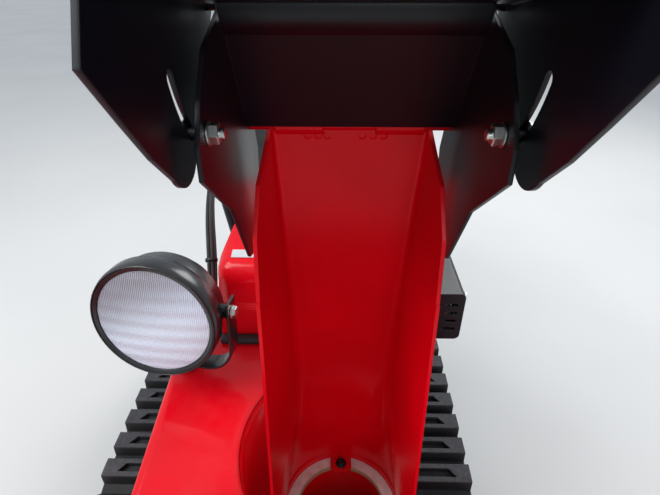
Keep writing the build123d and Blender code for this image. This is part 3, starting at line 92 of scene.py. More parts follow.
class Look:
    """A node material while it is built.

    Attributes:
        place: Object coordinates.
        colour: the colour so far.
        rough: the roughness so far.
        height: the coarse relief, where the finish has one.
    """
    colour: Link
    rough: Link
    height: Link | None = None

    def __init__(self, name: str) -> None:
        """Starts an empty material.

        Args:
            name: the material's name.
        """
        self.material = bpy.data.materials.new(name)
        self.material.use_nodes = True
        self.material.node_tree.nodes.clear()
        self.place = self.add("TexCoord").outputs["Object"]

    def add(self, kind: str, settings: dict | None = None, links: dict | None = None) -> Node:
        """Adds one shader node.

        Args:
            kind: the node's type, without its ShaderNode prefix.
            settings: attributes, or inputs by name or number, with their values.
            links: inputs by name or number, with the sockets that feed them, or with the nodes
                whose first available output does.

        Returns:
            The new node.
        """
        tree = self.material.node_tree
        made = tree.nodes.new("ShaderNode" + kind)
        for key, value in (settings or {}).items():
            if isinstance(key, str) and hasattr(made, key):
                setattr(made, key, value)
            else:
                made.inputs[key].default_value = value
        for key, source in (links or {}).items():
            if isinstance(source, Node):
                source = next(out for out in source.outputs if out.enabled)
            tree.links.new(source, made.inputs[key])
        return made

    def cover(self, shares: Sequence[Link], code: str, rough: float | None = None) -> None:
        """Lays another surface over the look.

        Args:
            shares: how much of it shows; they are multiplied.
            code: its colour.
            rough: its roughness, or None where that stays.
        """
        share = shares[0]
        for more in shares[1:]:
            share = self.add("Math", {"operation": "MULTIPLY"}, {0: share, 1: more})
        self.colour = self.add("Mix", {"data_type": "RGBA", 7: linear(code)}, {0: share, 6: self.colour})
        if rough is not None:
            self.rough = self.add("Mix", {"data_type": "FLOAT", 3: rough}, {0: share, 2: self.rough})

    def distance(self, centre: Node | tuple[float, float, float], mask: tuple[int, int, int]) -> Node:
        """Measures how far each point lies from a centre.

        Args:
            centre: the centre in m, or the node that gives it.
            mask: 1 for each axis that counts, else 0.

        Returns:
            The node that gives the distance in m.
        """
        fixed = isinstance(centre, tuple)
        arm = self.add("VectorMath", {"operation": "SUBTRACT"} | ({1: centre} if fixed else {}),
                       {0: self.place} | ({} if fixed else {1: centre}))
        flat = self.add("VectorMath", {"operation": "MULTIPLY", 1: mask}, {0: arm})
        return self.add("VectorMath", {"operation": "LENGTH"}, {0: flat})


class Base(Enum):
    """The kinds of ground material that a finish is made on, each with its IOR."""
    PAINT = ("paint", 1.5)
    PLASTIC = ("plastic", 1.46)
    RUBBER = ("rubber", 1.52)
    METAL = ("metal", 1.5)        # the shader's default


@dataclass(frozen=True)
class Finish:
    """One surface finish: its colours, gloss, texture, worn edges and the dust that lies on it."""
    name: str
    slot: str                     # the record's material slot
    base: Base
    main: str
    shade: str
    roughness: float
    spread: float = 0.08          # how far the roughness varies either way
    mottle_mm: float = 160.0      # size of the slow change from main colour to shade
    grain_mm: float = 3.0         # size of the fine relief
    relief_mm: float = 0.02       # height of the fine relief
    coat: float = 0.0
    sheen: float = 0.5            # strength of the white reflection
    edge_mm: float = 1.2          # radius that edges look rounded to
    wear: float = 0.0             # share of the edges that is worn through
    bare: str = "9A9A98"
    dust: float = 0.0
    dust_colour: str = "B9B3A8"

    def pattern(self, look: Look) -> None:
        """Adds what this finish has of its own; a plain finish has nothing.

        Args:
            look: the material so far.
        """

    def shader(self) -> dict:
        """Returns the shader's own settings, the same all over the surface."""
        metal = self.base is Base.METAL
        level = {} if metal else {"Specular IOR Level": self.sheen}
        return {"Metallic": float(metal), "IOR": self.base.value[1], "Coat Weight": self.coat,
                "Coat Roughness": 0.04, **level}

    def make(self) -> bpy.types.Material:
        """Returns the node material, built once and shared by every piece of this finish."""
        found = bpy.data.materials.get(self.name)
        if found:
            return found
        look = Look(self.name)
        place = {"Vector": look.place}
        slow = look.add("TexNoise", {"Scale": 1 / (self.mottle_mm * MM), "Detail": 3.0}, place)
        blend = look.add("MapRange", {"From Min": 0.35, "From Max": 0.65}, {"Value": slow})
        look.colour = look.add("Mix", {"data_type": "RGBA", 6: linear(self.main), 7: linear(self.shade)},
                               {0: blend})
        fine = look.add("TexNoise", {"Scale": 1 / (self.grain_mm * MM), "Detail": 2.0}, place)
        look.rough = look.add("MapRange", {
            "From Min": 0.3, "From Max": 0.7, "To Min": max(0.02, self.roughness - self.spread),
            "To Max": self.roughness + self.spread}, {"Value": slow})
        self.pattern(look)
        soft = look.add("Bevel", {"samples": 4, "Radius": self.edge_mm * MM})
        if self.wear:
            self.worn(look, soft)
        if self.dust:
            self.dusted(look)
        normal = look.add("Bump", {"Strength": 1.0, "Distance": self.relief_mm * MM},
                          {"Height": fine, "Normal": soft})
        if look.height is not None:
            normal = look.add("Bump", {"Strength": 1.0, "Distance": MM},
                              {"Height": look.height, "Normal": normal})
        surface = look.add("BsdfPrincipled", self.shader(),
                           {"Base Color": look.colour, "Roughness": look.rough, "Normal": normal})
        look.add("OutputMaterial", {}, {"Surface": surface})
        return look.material

    def worn(self, look: Look, soft: Node) -> None:
        """Rubs the paint off the edges, in patches.

        Args:
            look: the material so far.
            soft: the node with the rounded normal.
        """
        plain = look.add("NewGeometry").outputs["Normal"]
        level = look.add("VectorMath", {"operation": "DOT_PRODUCT"}, {0: plain, 1: soft})
        edge = look.add("MapRange", {"From Min": 0.97, "From Max": 0.8}, {"Value": level})
        patches = look.add("TexNoise", {"Scale": WEAR_PATCHES, "Detail": 4.0}, {"Vector": look.place})
        least = 0.68 - 0.3 * self.wear
        rubbed = look.add("MapRange", {"From Min": least, "From Max": least + 0.1}, {"Value": patches})
        look.cover((edge, rubbed), self.bare, 0.5)

    def dusted(self, look: Look) -> None:
        """Lays dust on what faces up.

        Args:
            look: the material so far.
        """
        facing = look.add("SeparateXYZ", {}, {0: look.add("NewGeometry").outputs["Normal"]})
        upward = look.add("MapRange", {"From Min": -0.1, "From Max": 1.0}, {"Value": facing.outputs["Z"]})
        drift = look.add("TexNoise", {"Scale": DUST_DRIFTS, "Detail": 8.0, "Roughness": 0.65},
                         {"Vector": look.place})
        patches = look.add("MapRange", {"From Min": 0.35, "From Max": 0.75, "To Max": self.dust},
                           {"Value": drift})
        look.cover((upward, patches), self.dust_colour, 0.75)


@dataclass(frozen=True)
class TrackRubber(Finish):
    """Moulded track rubber: black, grey on the lugs' crests, partly rubbed and partly a painted highlight for
    their lit tops.
    """
    front: float = -0.152         # idler axle
    rear: float = 0.318           # sprocket axle
    axle_z: float = 0.143
    root: float = 0.1375          # loop radius in m below which nothing is rubbed
    crest: float = 0.1425         # loop radius in m of the lugs' tops

    def pattern(self, look: Look) -> None:
        """Greys the crests by their distance from the loop's centre line; see Finish.pattern."""
        split = look.add("SeparateXYZ", {}, {0: look.place})
        along = look.add("Clamp", {"Min": self.front, "Max": self.rear}, {"Value": split.outputs["Y"]})
        middle = look.add("CombineXYZ", {"Z": self.axle_z}, {"Y": along})
        crest = look.add("MapRange", {"From Min": self.root, "From Max": self.crest},
                         {"Value": look.distance(middle, (0, 1, 1))})
        crest_rub_and_highlight = look.add("TexNoise", {"Scale": CREST_RUB_AND_HIGHLIGHT_CELLS, "Detail": 6.0, "Roughness": 0.7},
                        {"Vector": look.place})
        patches = look.add("MapRange", {"From Min": 0.3, "From Max": 0.62}, {"Value": crest_rub_and_highlight})
        # partly painted highlight: the crests' grey stands for light on the lugs' tops as well as for rubbing
        look.cover((crest, patches), "3E3F43")


@dataclass(frozen=True)
class WeldedPaint(Finish):
    """Gloss paint over spot welds, which show as faint rings near the hinge, and a little dust."""
    spots: tuple[float, ...] = (-0.032, -0.024, -0.017, 0.010, 0.018, 0.026)
    centre_x: float = 0.1
    centre_z: float = 0.984

    def pattern(self, look: Look) -> None:
        """Raises a low ring round each weld; see Finish.pattern."""
        for spot in self.spots:
            reach = look.distance((self.centre_x + spot, 0, self.centre_z), (1, 0, 1))
            ring = look.add("MapRange", {"interpolation_type": "SMOOTHSTEP", "From Min": 0.0036,
                                         "From Max": 0.0016, "To Max": 0.5}, {"Value": reach})
            look.height = ring if look.height is None else look.add(
                "Math", {"operation": "ADD"}, {0: look.height, 1: ring})


@dataclass(frozen=True)
class WearRing(Finish):
    """Pale slide plastic, stained brown where it faces the bore."""
    centre: tuple[float, float, float] = (0.1, -0.33, 0)

    def pattern(self, look: Look) -> None:
        """Stains the inner edge; see Finish.pattern."""
        inner = look.add("MapRange", {"From Min": 0.0605, "From Max": 0.0580, "To Max": 0.85},
                         {"Value": look.distance(self.centre, (1, 1, 0))})
        look.cover((inner,), "8A6A3C")


@dataclass(frozen=True)
class RibbedGlass(Finish):
    """Pressed lamp glass: fine upright flutes crossed by broad bands, under a painted reflection that turns
    darker pink towards its top.
    """
    centre: tuple[float, float, float] = (-0.1185, -0.2716, 0.7455)
    yaw: float = -6.7
    flute_mm: float = 2.3
    step_mm: float = 17.0
    # painted reflection and shade: the dark pink laid over the glass's upper part
    clear: str = "75666B"

    def shader(self) -> dict:
        """Returns glass, partly clear, smooth and refracting."""
        return {"Metallic": 0.0, "IOR": 1.5, "Transmission Weight": 0.15, "Specular IOR Level": 0.3}

    def pattern(self, look: Look) -> None:
        """Presses in the flutes and bands, and paints a darker pink reflection and shade over the upper right,
        varied by the flutes; see Finish.pattern.
        """
        local = look.add("VectorMath", {"operation": "SUBTRACT", 1: self.centre}, {0: look.place})
        local = look.add("Mapping", {"Rotation": (0, 0, math.radians(-self.yaw))}, {"Vector": local})
        split = look.add("SeparateXYZ", {}, {0: local})
        waves = []
        for axis, pitch, deep in (("X", self.flute_mm, 0.20), ("Z", self.step_mm, 0.40)):
            wave = look.add("Math", {"operation": "MULTIPLY", 1: math.tau / (pitch * MM)},
                            {0: split.outputs[axis]})
            wave = look.add("Math", {"operation": "SINE"}, {0: wave})
            waves.append(look.add("Math", {"operation": "MULTIPLY", 1: deep}, {0: wave}))
        look.height = look.add("Math", {"operation": "ADD"}, {0: waves[0], 1: waves[1]})
        # painted reflection and shade: the dark pink grows towards the upper right and is varied by the flutes
        lean = look.add("VectorMath", {"operation": "DOT_PRODUCT", 1: (-0.55, 0.0, 1.0)}, {0: local})
        clear = look.add("MapRange", {"interpolation_type": "SMOOTHSTEP", "From Min": -0.02,
                                      "From Max": 0.065, "To Max": 0.95}, {"Value": lean})
        flute = look.add("MapRange", {"From Min": -0.2, "From Max": 0.2, "To Min": 0.62},
                         {"Value": waves[0]})
        look.cover((clear, flute), self.clear)


class Coats:
    """Every finish on the machine, named for what the real one is."""
    # Powder coat: deep red with a soft orange peel, scuffed at the edges of the housing
    red = Finish("red_powder_coat", "red_paint", Base.PAINT, "C4040F", "AE020C", 0.28, grain_mm=2.2,
                 relief_mm=0.018, coat=0.15, sheen=0.3, wear=0.35, bare="8C8580", dust=0.06)
    # Sprayed gloss on pressed sheet: a wetter, purer red with hardly any peel
    chute = WeldedPaint("red_chute_paint", "red_chute", Base.PAINT, "D00012", "BC000D", 0.22, spread=0.05,
                        grain_mm=2.6, relief_mm=0.015, sheen=0.14, wear=0.12, bare="7A2020", dust=0.03)
    # Moulded ABS in body colour: smooth, wet gloss, no orange peel
    abs = Finish("red_moulded_abs", "red_plastic", Base.PLASTIC, "E4081C", "D60418", 0.16, spread=0.04,
                 grain_mm=5.0, relief_mm=0.006, coat=0.1, sheen=0.25, edge_mm=2.5, dust=0.03)
    # Gloss enamel: hard, nearly blue black, that takes clear reflections
    black = Finish("black_gloss_paint", "black_paint", Base.PAINT, "0A0C15", "07080E", 0.34, spread=0.06,
                   grain_mm=2.4, relief_mm=0.015, sheen=0.3, wear=0.08, bare="3A3B40", dust=0.05)
    # Satin enamel: an even, soft shine that shows how a pressing is rounded
    satin = Finish("black_satin_paint", "black_paint", Base.PAINT, "16171A", "101114", 0.24, spread=0.05,
                   grain_mm=1.6, relief_mm=0.012, sheen=0.6, wear=0.05, dust=0.05)
    # Thick chassis paint: dull black, chipped to brown steel at its edges
    frame = Finish("black_frame_paint", "black_paint", Base.PAINT, "17181B", "101113", 0.38, grain_mm=2.0,
                   relief_mm=0.02, coat=0.1, wear=0.3, bare="5C5A58", dust=0.14)
    # Textured polypropylene: matt, a fine leather grain from the mould
    grained = Finish("black_grained_plastic", "black_plastic", Base.PLASTIC, "1B1C1E", "151617", 0.52,
                     grain_mm=1.6, relief_mm=0.05, dust=0.06)
    # Moulded rubber: dull, rough and dusty; its lugs' crests grey, partly rubbed and partly a painted highlight
    track = TrackRubber("moulded_track_rubber", "track_rubber", Base.RUBBER, "141416", "1C1C1E", 0.72,
                        grain_mm=4.0, relief_mm=0.15, edge_mm=2.0, dust=0.10, dust_colour="8D8B88")
    # Soft rubber: an even black with hardly a shine
    rubber = Finish("black_grip_rubber", "grip_rubber", Base.RUBBER, "121213", "19191A", 0.62,
                    grain_mm=1.2, relief_mm=0.05, dust=0.06)
    # Sand casting under thin paint: coarse skin, grey where it is rubbed
    iron = Finish("sand_cast_iron", "cast_iron", Base.PAINT, "3A3A3C", "2C2C2E", 0.55, grain_mm=2.5,
                  relief_mm=0.18, wear=0.4, bare="77736C", dust=0.3)
    # Zinc plate: cool, bright and faintly clouded. The clouds are coarser than real ones, to show
    zinc = Finish("zinc_plated_steel", "steel", Base.METAL, "C9CBC8", "A9AAA4", 0.32, mottle_mm=8,
                  grain_mm=0.8, relief_mm=0.01, edge_mm=0.4)
    # Rolled steel: brown-grey mill skin in slow clouds
    steel = Finish("rolled_steel", "steel", Base.METAL, "8F8E8B", "6E6A64", 0.42, mottle_mm=35,
                   grain_mm=1.4, relief_mm=0.03, dust=0.12)
    # Die casting: pale and dull. Its sandy skin is coarser than a real one, to show
    aluminium = Finish("die_cast_aluminium", "aluminium", Base.METAL, "A6A8AA", "8E9092", 0.5,
                       mottle_mm=40, grain_mm=1.8, relief_mm=0.07, dust=0.2)
    # Metal vapour on a polished bowl: nearly a clean mirror
    mirror = Finish("vapour_coated_reflector", "steel", Base.METAL, "F2F3F4", "E4E6E8", 0.12,
                    spread=0.03, relief_mm=0.004)
    # Waxy slide plastic: pale pink-grey, stained by use
    ring = WearRing("pale_slide_plastic", "wear_plastic", Base.PLASTIC, "DCCFCB", "C2B2AE", 0.42,
                    mottle_mm=18, relief_mm=0.03, dust=0.1)
    # Pressed glass: flutes and bands that break up the light; its colours are painted reflection, pale
    # blue-white low down and darker pink with shade above
    glass = RibbedGlass("pressed_lamp_glass", "lens_glass", Base.PLASTIC, "E0ECFA", "D6E4F5", 0.10,
                        spread=0.01, relief_mm=0.0)
    # Bare foil: flat, pale and faintly mottled
    foil = Finish("bare_foil_plate", "aluminium", Base.PLASTIC, "CFD0D2", "C4C5C8", 0.38, mottle_mm=12,
                  grain_mm=0.6, relief_mm=0.01)
    # Pale painted floor, matt and even; it takes only the shadow
    floor = Finish("pale_floor", "", Base.PLASTIC, "D9D8D5", "D4D3D0", 0.8, mottle_mm=900,
                   relief_mm=0.0, edge_mm=0.1)


NODE_COATS: dict[str, Finish] = {name: coat for coat, names in (
    (Coats.red, "auger_housing impeller_housing auger impeller"),
    (Coats.chute, "chute"),
    (Coats.abs, "bonnet front_cover"),
    (Coats.black, "deflector_middle deflector_tip lamp_bracket muffler_guard handlebar_left "
                  "handlebar_right clutch_levers"),
    (Coats.frame, "skid_shoes track_frame_left track_frame_right track_cross_member lift_barrel "
                  "main_frame"),
    (Coats.grained, "lamp_housing belt_case engine_skirt recoil_starter rear_column fuel_tank console "
                    "control_levers"),
    (Coats.track, "track_left track_right"),
    (Coats.rubber, "bonnet_seal grips control_cables"),
    (Coats.iron, "auger_gear_case idler_wheels drive_sprockets track_rollers"),
    (Coats.zinc, "lift_rod"),
    (Coats.steel, "scraper_blade drive_axle muffler"),
    (Coats.aluminium, "transmission_case engine_block"),
    (Coats.ring, "chute_ring"),
    (Coats.glass, "lamp_lens")) for name in names.split()}


def paint(piece: Piece, finish: Finish) -> None:
    """Puts one finish on a whole piece or CAD node, through its material alone."""
    piece.data.materials.clear()
    piece.data.materials.append(finish.make())


def deselect() -> None:
    """Leaves nothing selected."""
    if bpy.context.object and bpy.context.object.mode != "OBJECT":
        bpy.ops.object.mode_set(mode="OBJECT")
    bpy.ops.object.select_all(action="DESELECT")


def take(piece: Piece) -> None:
    """Selects one piece alone and makes it active.

    Args:
        piece: the piece.
    """
    deselect()
    piece.select_set(True)
    bpy.context.view_layer.objects.active = piece


def linked(name: str, data: bpy.types.ID) -> Piece:
    """Puts a mesh, curve or camera into the scene.

    Args:
        name: the object's name.
        data: what it shows.

    Returns:
        The object.
    """
    made = bpy.data.objects.new(name, data)
    bpy.context.scene.collection.objects.link(made)
    return made


@contextmanager
def editing(piece: Piece, kind: str = "VERT") -> Iterator[None]:
    """Opens a piece in edit mode with everything selected, and closes it again.

    Args:
        piece: the piece.
        kind: what is selected: VERT, EDGE or FACE.
    """
    take(piece)
    bpy.ops.object.mode_set(mode="EDIT")
    bpy.ops.mesh.select_mode(type=kind)
    bpy.ops.mesh.select_all(action="SELECT")
    yield
    bpy.ops.object.mode_set(mode="OBJECT")


def pick(piece: Piece, kind: str, wanted: Callable[[list[Vector]], bool]) -> None:
    """Selects some of a piece's faces or edges; called in edit mode.

    Args:
        piece: the piece in edit mode.
        kind: FACE or EDGE.
        wanted: tells from the places of its corners or ends whether one is selected.
    """
    bpy.ops.mesh.select_mode(type=kind)
    bpy.ops.mesh.select_all(action="DESELECT")
    bpy.ops.object.mode_set(mode="OBJECT")
    mesh = piece.data
    for part in mesh.polygons if kind == "FACE" else mesh.edges:
        part.select = wanted([mesh.vertices[at].co for at in part.vertices])
    bpy.ops.object.mode_set(mode="EDIT")


def modify(piece: Piece, kind: str, **settings) -> None:
    """Adds a modifier and applies it at once.

    Args:
        piece: the piece.
        kind: the modifier's type.
        settings: its attributes.
    """
    take(piece)
    made = piece.modifiers.new(kind.lower(), kind)
    for key, value in settings.items():
        setattr(made, key, value)
    bpy.ops.object.modifier_apply(modifier=made.name)


def settle(piece: Piece, angle: float = 35.0) -> Piece:
    """Puts a piece's place into its mesh and shades it.

    Args:
        piece: the piece.
        angle: the angle in degrees up to which it looks smooth.

    Returns:
        The piece.
    """
    take(piece)
    bpy.ops.object.transform_apply(location=True, rotation=True, scale=True)
    bpy.ops.object.shade_smooth_by_angle(angle=math.radians(angle))
    return piece


def shifted(place: Matrix, x: float, y: float, z: float) -> Matrix:
    """Moves a placing matrix along its own axes, in m."""
    return place @ Matrix.Translation((x, y, z))


def frame_of(origin: Sequence[float], axis: Vector, side: Vector | None = None) -> Matrix:
    """Makes a placing matrix.

    Args:
        origin: where the piece's own origin goes.
        axis: where its own Z goes.
        side: roughly where its own X goes.

    Returns:
        The matrix.
    """
    z = axis.normalized()
    guess = side if side is not None else (UP if abs(z.z) < 0.9 else LEFT)
    x = (guess - z * guess.dot(z)).normalized()
    return Matrix.Translation(origin) @ Matrix((x, z.cross(x), z)).transposed().to_4x4()


def arc(centre: tuple[float, float], radius: float, turns: Iterable[float]) -> list[tuple[float, float]]:
    """Returns the points of a circle at the given angles in degrees."""
    return [(centre[0] + radius * math.cos(math.radians(turn)),
             centre[1] + radius * math.sin(math.radians(turn))) for turn in turns]


def mirrored(points: Iterable[Sequence[float]]) -> Seats:
    """Returns a seat at each point and at its mirror image, all of them facing outwards."""
    return [(Vector((way * x, y, z)), LEFT * way) for x, y, z in points for way in SIDES]


def around(centre: Vector, radius: float, turns: Iterable[float], out: Vector) -> Seats:
    """Places seats on an upright circle.

    Args:
        centre: its centre.
        radius: its radius in m.
        turns: the angle of each seat in degrees.
        out: which way the seats face.

    Returns:
        The seats.
    """
    side = BACK if abs(out.x) > 0.5 else LEFT
    return [(centre + side * y + UP * z, out) for y, z in arc((0, 0), radius, turns)]


def turned(name: str, rings: Outline, place: Matrix = HERE, sides: int = 48, closed: bool = True) -> Piece:
    """Turns a round piece from a circle by extruding it ring by ring.

    Args:
        name: the piece's name.
        rings: radius and height of each ring in mm, from the first to the last.
        place: where the piece's own axes go.
        sides: how many sides each ring has.
        closed: whether the first ring is filled.

    Returns:
        The piece, its place in its mesh.
    """
    deselect()
    first, level = rings[0]
    bpy.ops.mesh.primitive_circle_add(vertices=sides, radius=first * MM, location=(0, 0, level * MM),
                                      fill_type="NOTHING")
    piece = bpy.context.object
    piece.name = piece.data.name = name
    bpy.ops.object.transform_apply(location=True)
    with editing(piece, "EDGE"):
        if closed:
            bpy.ops.mesh.edge_face_add()
        for radius, height in rings[1:]:
            bpy.ops.mesh.extrude_region_move(
                TRANSFORM_OT_translate={"value": (0, 0, (height - level) * MM)})
            ratio = radius / first
            bpy.ops.transform.resize(value=(ratio, ratio, 1), center_override=(0, 0, 0))
            first, level = radius, height
        bpy.ops.mesh.select_all(action="SELECT")
        bpy.ops.mesh.normals_make_consistent(inside=False)
    piece.matrix_world = place
    return settle(piece)


def joined(name: str, parts: Sequence[Piece]) -> Piece:
    """Joins pieces of one body.

    Args:
        name: the joined piece's name.
        parts: the pieces.

    Returns:
        The joined piece.
    """
    deselect()
    for part in parts:
        part.select_set(True)
    bpy.context.view_layer.objects.active = whole = parts[0]
    if len(parts) > 1:
        bpy.ops.object.join()
    whole.name = whole.data.name = name
    return whole


def copied(model: Piece, name: str, places: Iterable[Matrix]) -> Piece:
    """Sets copies of a model at several places, joins them and removes the model.

    Args:
        model: the piece that is copied, modelled at the origin.
        name: the joined piece's name.
        places: where each copy goes.

    Returns:
        The joined piece.
    """
    made = []
    for place in places:
        made.append(linked(name, model.data.copy()))
        made[-1].matrix_world = place
    bpy.data.objects.remove(model)
    return settle(joined(name, made))


def block(name: str, low: Sequence[float], high: Sequence[float], round_mm: float = 1.5,
          segments: int = 2) -> Piece:
    """Models a box with rounded edges.

    Args:
        name: the piece's name.
        low: its lowest corner in m.
        high: its highest corner in m.
        round_mm: the radius of its edges.
        segments: how many faces each rounded edge has.

    Returns:
        The piece.
    """
    deselect()
    low, high = Vector(low), Vector(high)
    bpy.ops.mesh.primitive_cube_add(size=1, location=(low + high) / 2, scale=high - low)
    piece = bpy.context.object
    piece.name = piece.data.name = name
    bpy.ops.object.transform_apply(location=True, rotation=True, scale=True)
    with editing(piece, "EDGE"):
        bpy.ops.mesh.bevel(offset=round_mm * MM, segments=segments, affect="EDGES")
    return settle(piece)


def curved(name: str, curve: bpy.types.Curve, place: Matrix) -> Piece:
    """Makes a curve a mesh piece, with its doubles merged and its faces outwards.

    Args:
        name: the piece's name.
        curve: the curve.
        place: where the curve's own axes go.

    Returns:
        The piece.
    """
    take(linked(name, curve))
    bpy.ops.object.convert(target="MESH")
    piece = bpy.context.object
    piece.name = piece.data.name = name
    with editing(piece):
        bpy.ops.mesh.remove_doubles(threshold=MERGE)
        bpy.ops.mesh.normals_make_consistent(inside=False)
    piece.matrix_world = place
    return settle(piece)


def plate(name: str, outline: Outline, thick: float, place: Matrix, round_mm: float = 0.0) -> Piece:
    """Cuts a flat plate to an outline.

    Args:
        name: the piece's name.
        outline: its corners in mm, in its own X and Y.
        thick: its thickness in mm, along its own Z from 0.
        place: where its own axes go.
        round_mm: the radius of its rim.

    Returns:
        The piece.
    """
    curve = bpy.data.curves.new(name, "CURVE")
    curve.dimensions = "2D"
    curve.fill_mode = "BOTH"
    curve.extrude = (thick / 2 - round_mm) * MM
    curve.bevel_depth = round_mm * MM
    curve.offset = -round_mm * MM
    line = curve.splines.new("POLY")
    line.points.add(len(outline) - 1)
    for point, (x, y) in zip(line.points, outline):
        point.co = (x * MM, y * MM, 0, 1)
    line.use_cyclic_u = True
    return curved(name, curve, shifted(place, 0, 0, thick * MM / 2))


def tube(name: str, points: Sequence[Sequence[float]], radius: float, sides: int = 3,
         straight: bool = False) -> Piece:
    """Runs a round tube, rod or cable through its points.

    Args:
        name: the piece's name.
        points: its route in m.
        radius: its radius in mm.
        sides: Blender's bevel resolution; 3 gives ten sides.
        straight: whether the runs stay straight between the points.

    Returns:
        The piece.
    """
    curve = bpy.data.curves.new(name, "CURVE")
    curve.dimensions = "3D"
    curve.bevel_depth = radius * MM
    curve.bevel_resolution = sides
    curve.use_fill_caps = True
    line = curve.splines.new("POLY" if straight else "NURBS")
    line.points.add(len(points) - 1)
    for point, place in zip(line.points, points):
        point.co = (*place, 1)
    if not straight:
        line.order_u = 3
        line.use_endpoint_u = True
        line.resolution_u = 8
    return curved(name, curve, HERE)


def softened(node: str, name: str, width: float = 0.0) -> Piece:
    """Copies a CAD node's skin, merges its loose triangles and rounds its sharp edges.

    Args:
        node: the CAD node.
        name: the piece's name.
        width: the rounded edge's width in mm, or 0 to leave it sharp.

    Returns:
        The piece.
    """
    piece = linked(name, frame["nodes"][node].data.copy())
    with editing(piece):
        bpy.ops.mesh.remove_doubles(threshold=MERGE)
        bpy.ops.mesh.dissolve_limited(angle_limit=math.radians(0.6))
    if width:
        modify(piece, "BEVEL", width=width * MM, segments=3, limit_method="ANGLE",
               angle_limit=math.radians(30))
    return settle(piece, 50)


def fit(piece: Piece, finish: Finish, *replaces: str, body: str = "machine", slot: str = "") -> None:
    """Rides a finished piece on its body, dresses it and reports it.

    Args:
        piece: the finished piece.
        finish: its finish.
        replaces: CAD nodes that it stands for.
        body: the CAD body that it moves with.
        slot: not used; the record's material slot, where it isn't the finish's own.
    """
    paint(piece, finish)
    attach(piece, body)
    if replaces:
        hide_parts(*replaces)
    log.info("%s: %d faces on %s", piece.name, len(piece.data.polygons), body)


def fasten(name: str, seats: Seats, thread: float, body: str = "machine", nuts: bool = False) -> None:
    """Fits one set of zinc-plated hex bolts or nuts, modelled once and copied.

    Args:
        name: the set's name.
        seats: for each one, where it sits in m and which way it stands out.
        thread: the thread's diameter in mm.
        body: the CAD body that it moves with.
        nuts: whether they are nuts on washers with the bolt's end standing out, or bolt heads.
    """
    size = Matrix.Scale(thread, 4)
    if nuts:
        parts = [turned("washer", ((0.55, 0), (1, 0), (1.05, 0.05), (1.05, 0.16), (1, 0.2), (0.55, 0.2)),
                        size, 24),
                 turned("nut", ((0.84, 0.2), (0.95, 0.28), (0.95, 0.92), (0.84, 1)), size, 6),
                 turned("shank", ((0.5, 0.9), (0.5, 1.35), (0.42, 1.45)), size, 16)]
    else:
        parts = [turned("flange", ((1.05, 0), (1.08, 0.08), (0.9, 0.2)), size, 24),
                 turned("head", ((0.92, 0.1), (0.92, 0.6), (0.8, 0.72)), size, 6)]
    fit(copied(joined("model", parts), name, [frame_of(*seat) for seat in seats]), Coats.zinc, body=body)


@dataclass(frozen=True)
class Studio:
    """Pale floor, soft light and the photograph's camera."""
    lens_mm: float = 24.98
    sensor_mm: float = 36.0
    eye: tuple[float, float, float] = (0.0915, -0.6695, 1.097)
    pitch: float = 32.0           # degrees down
    heading: float = 1.06         # degrees to its own left
    sky: str = "DEE6F0"
    sky_power: float = 0.85
    aim: tuple[float, float, float] = (0, -0.1, 0.5)    # what the lamps point at
    lights: tuple[tuple[str, tuple[float, float, float], float, float], ...] = (
        ("key", (-1.9, -1.2, 3.0), 1.8, 70), ("rim", (1.6, 2.2, 2.8), 1.6, 55),
        ("fill", (0.6, -3.2, 1.7), 1.2, 17))      # name, place, size in m and watts of each

    def build(self) -> None:
        """Makes floor, world, lamps and camera."""
        deselect()
        bpy.ops.mesh.primitive_plane_add(size=60, location=(0, 0, 0))
        floor = bpy.context.object
        floor.name = "floor"
        paint(floor, Coats.floor)
        scene = bpy.context.scene
        scene.world = bpy.data.worlds.new("soft_sky")
        scene.world.use_nodes = True
        back = scene.world.node_tree.nodes["Background"]
        back.inputs["Color"].default_value = linear(self.sky)
        back.inputs["Strength"].default_value = self.sky_power
        for name, place, size, power in self.lights:
            deselect()
            bpy.ops.object.light_add(type="AREA", location=place)
            lamp = bpy.context.object
            lamp.name = name
            lamp.data.size = size
            lamp.data.energy = power
            lamp.rotation_euler = (Vector(self.aim) - Vector(place)).to_track_quat("-Z", "Y").to_euler()
        camera = linked("camera", bpy.data.cameras.new("camera"))
        camera.data.lens = self.lens_mm
        camera.data.sensor_width = self.sensor_mm
        camera.data.clip_start = 0.01
        camera.location = self.eye
        camera.rotation_euler = (math.radians(90 - self.pitch), 0, math.radians(self.heading))
        scene.camera = camera
        scene.view_settings.view_transform = "Standard"


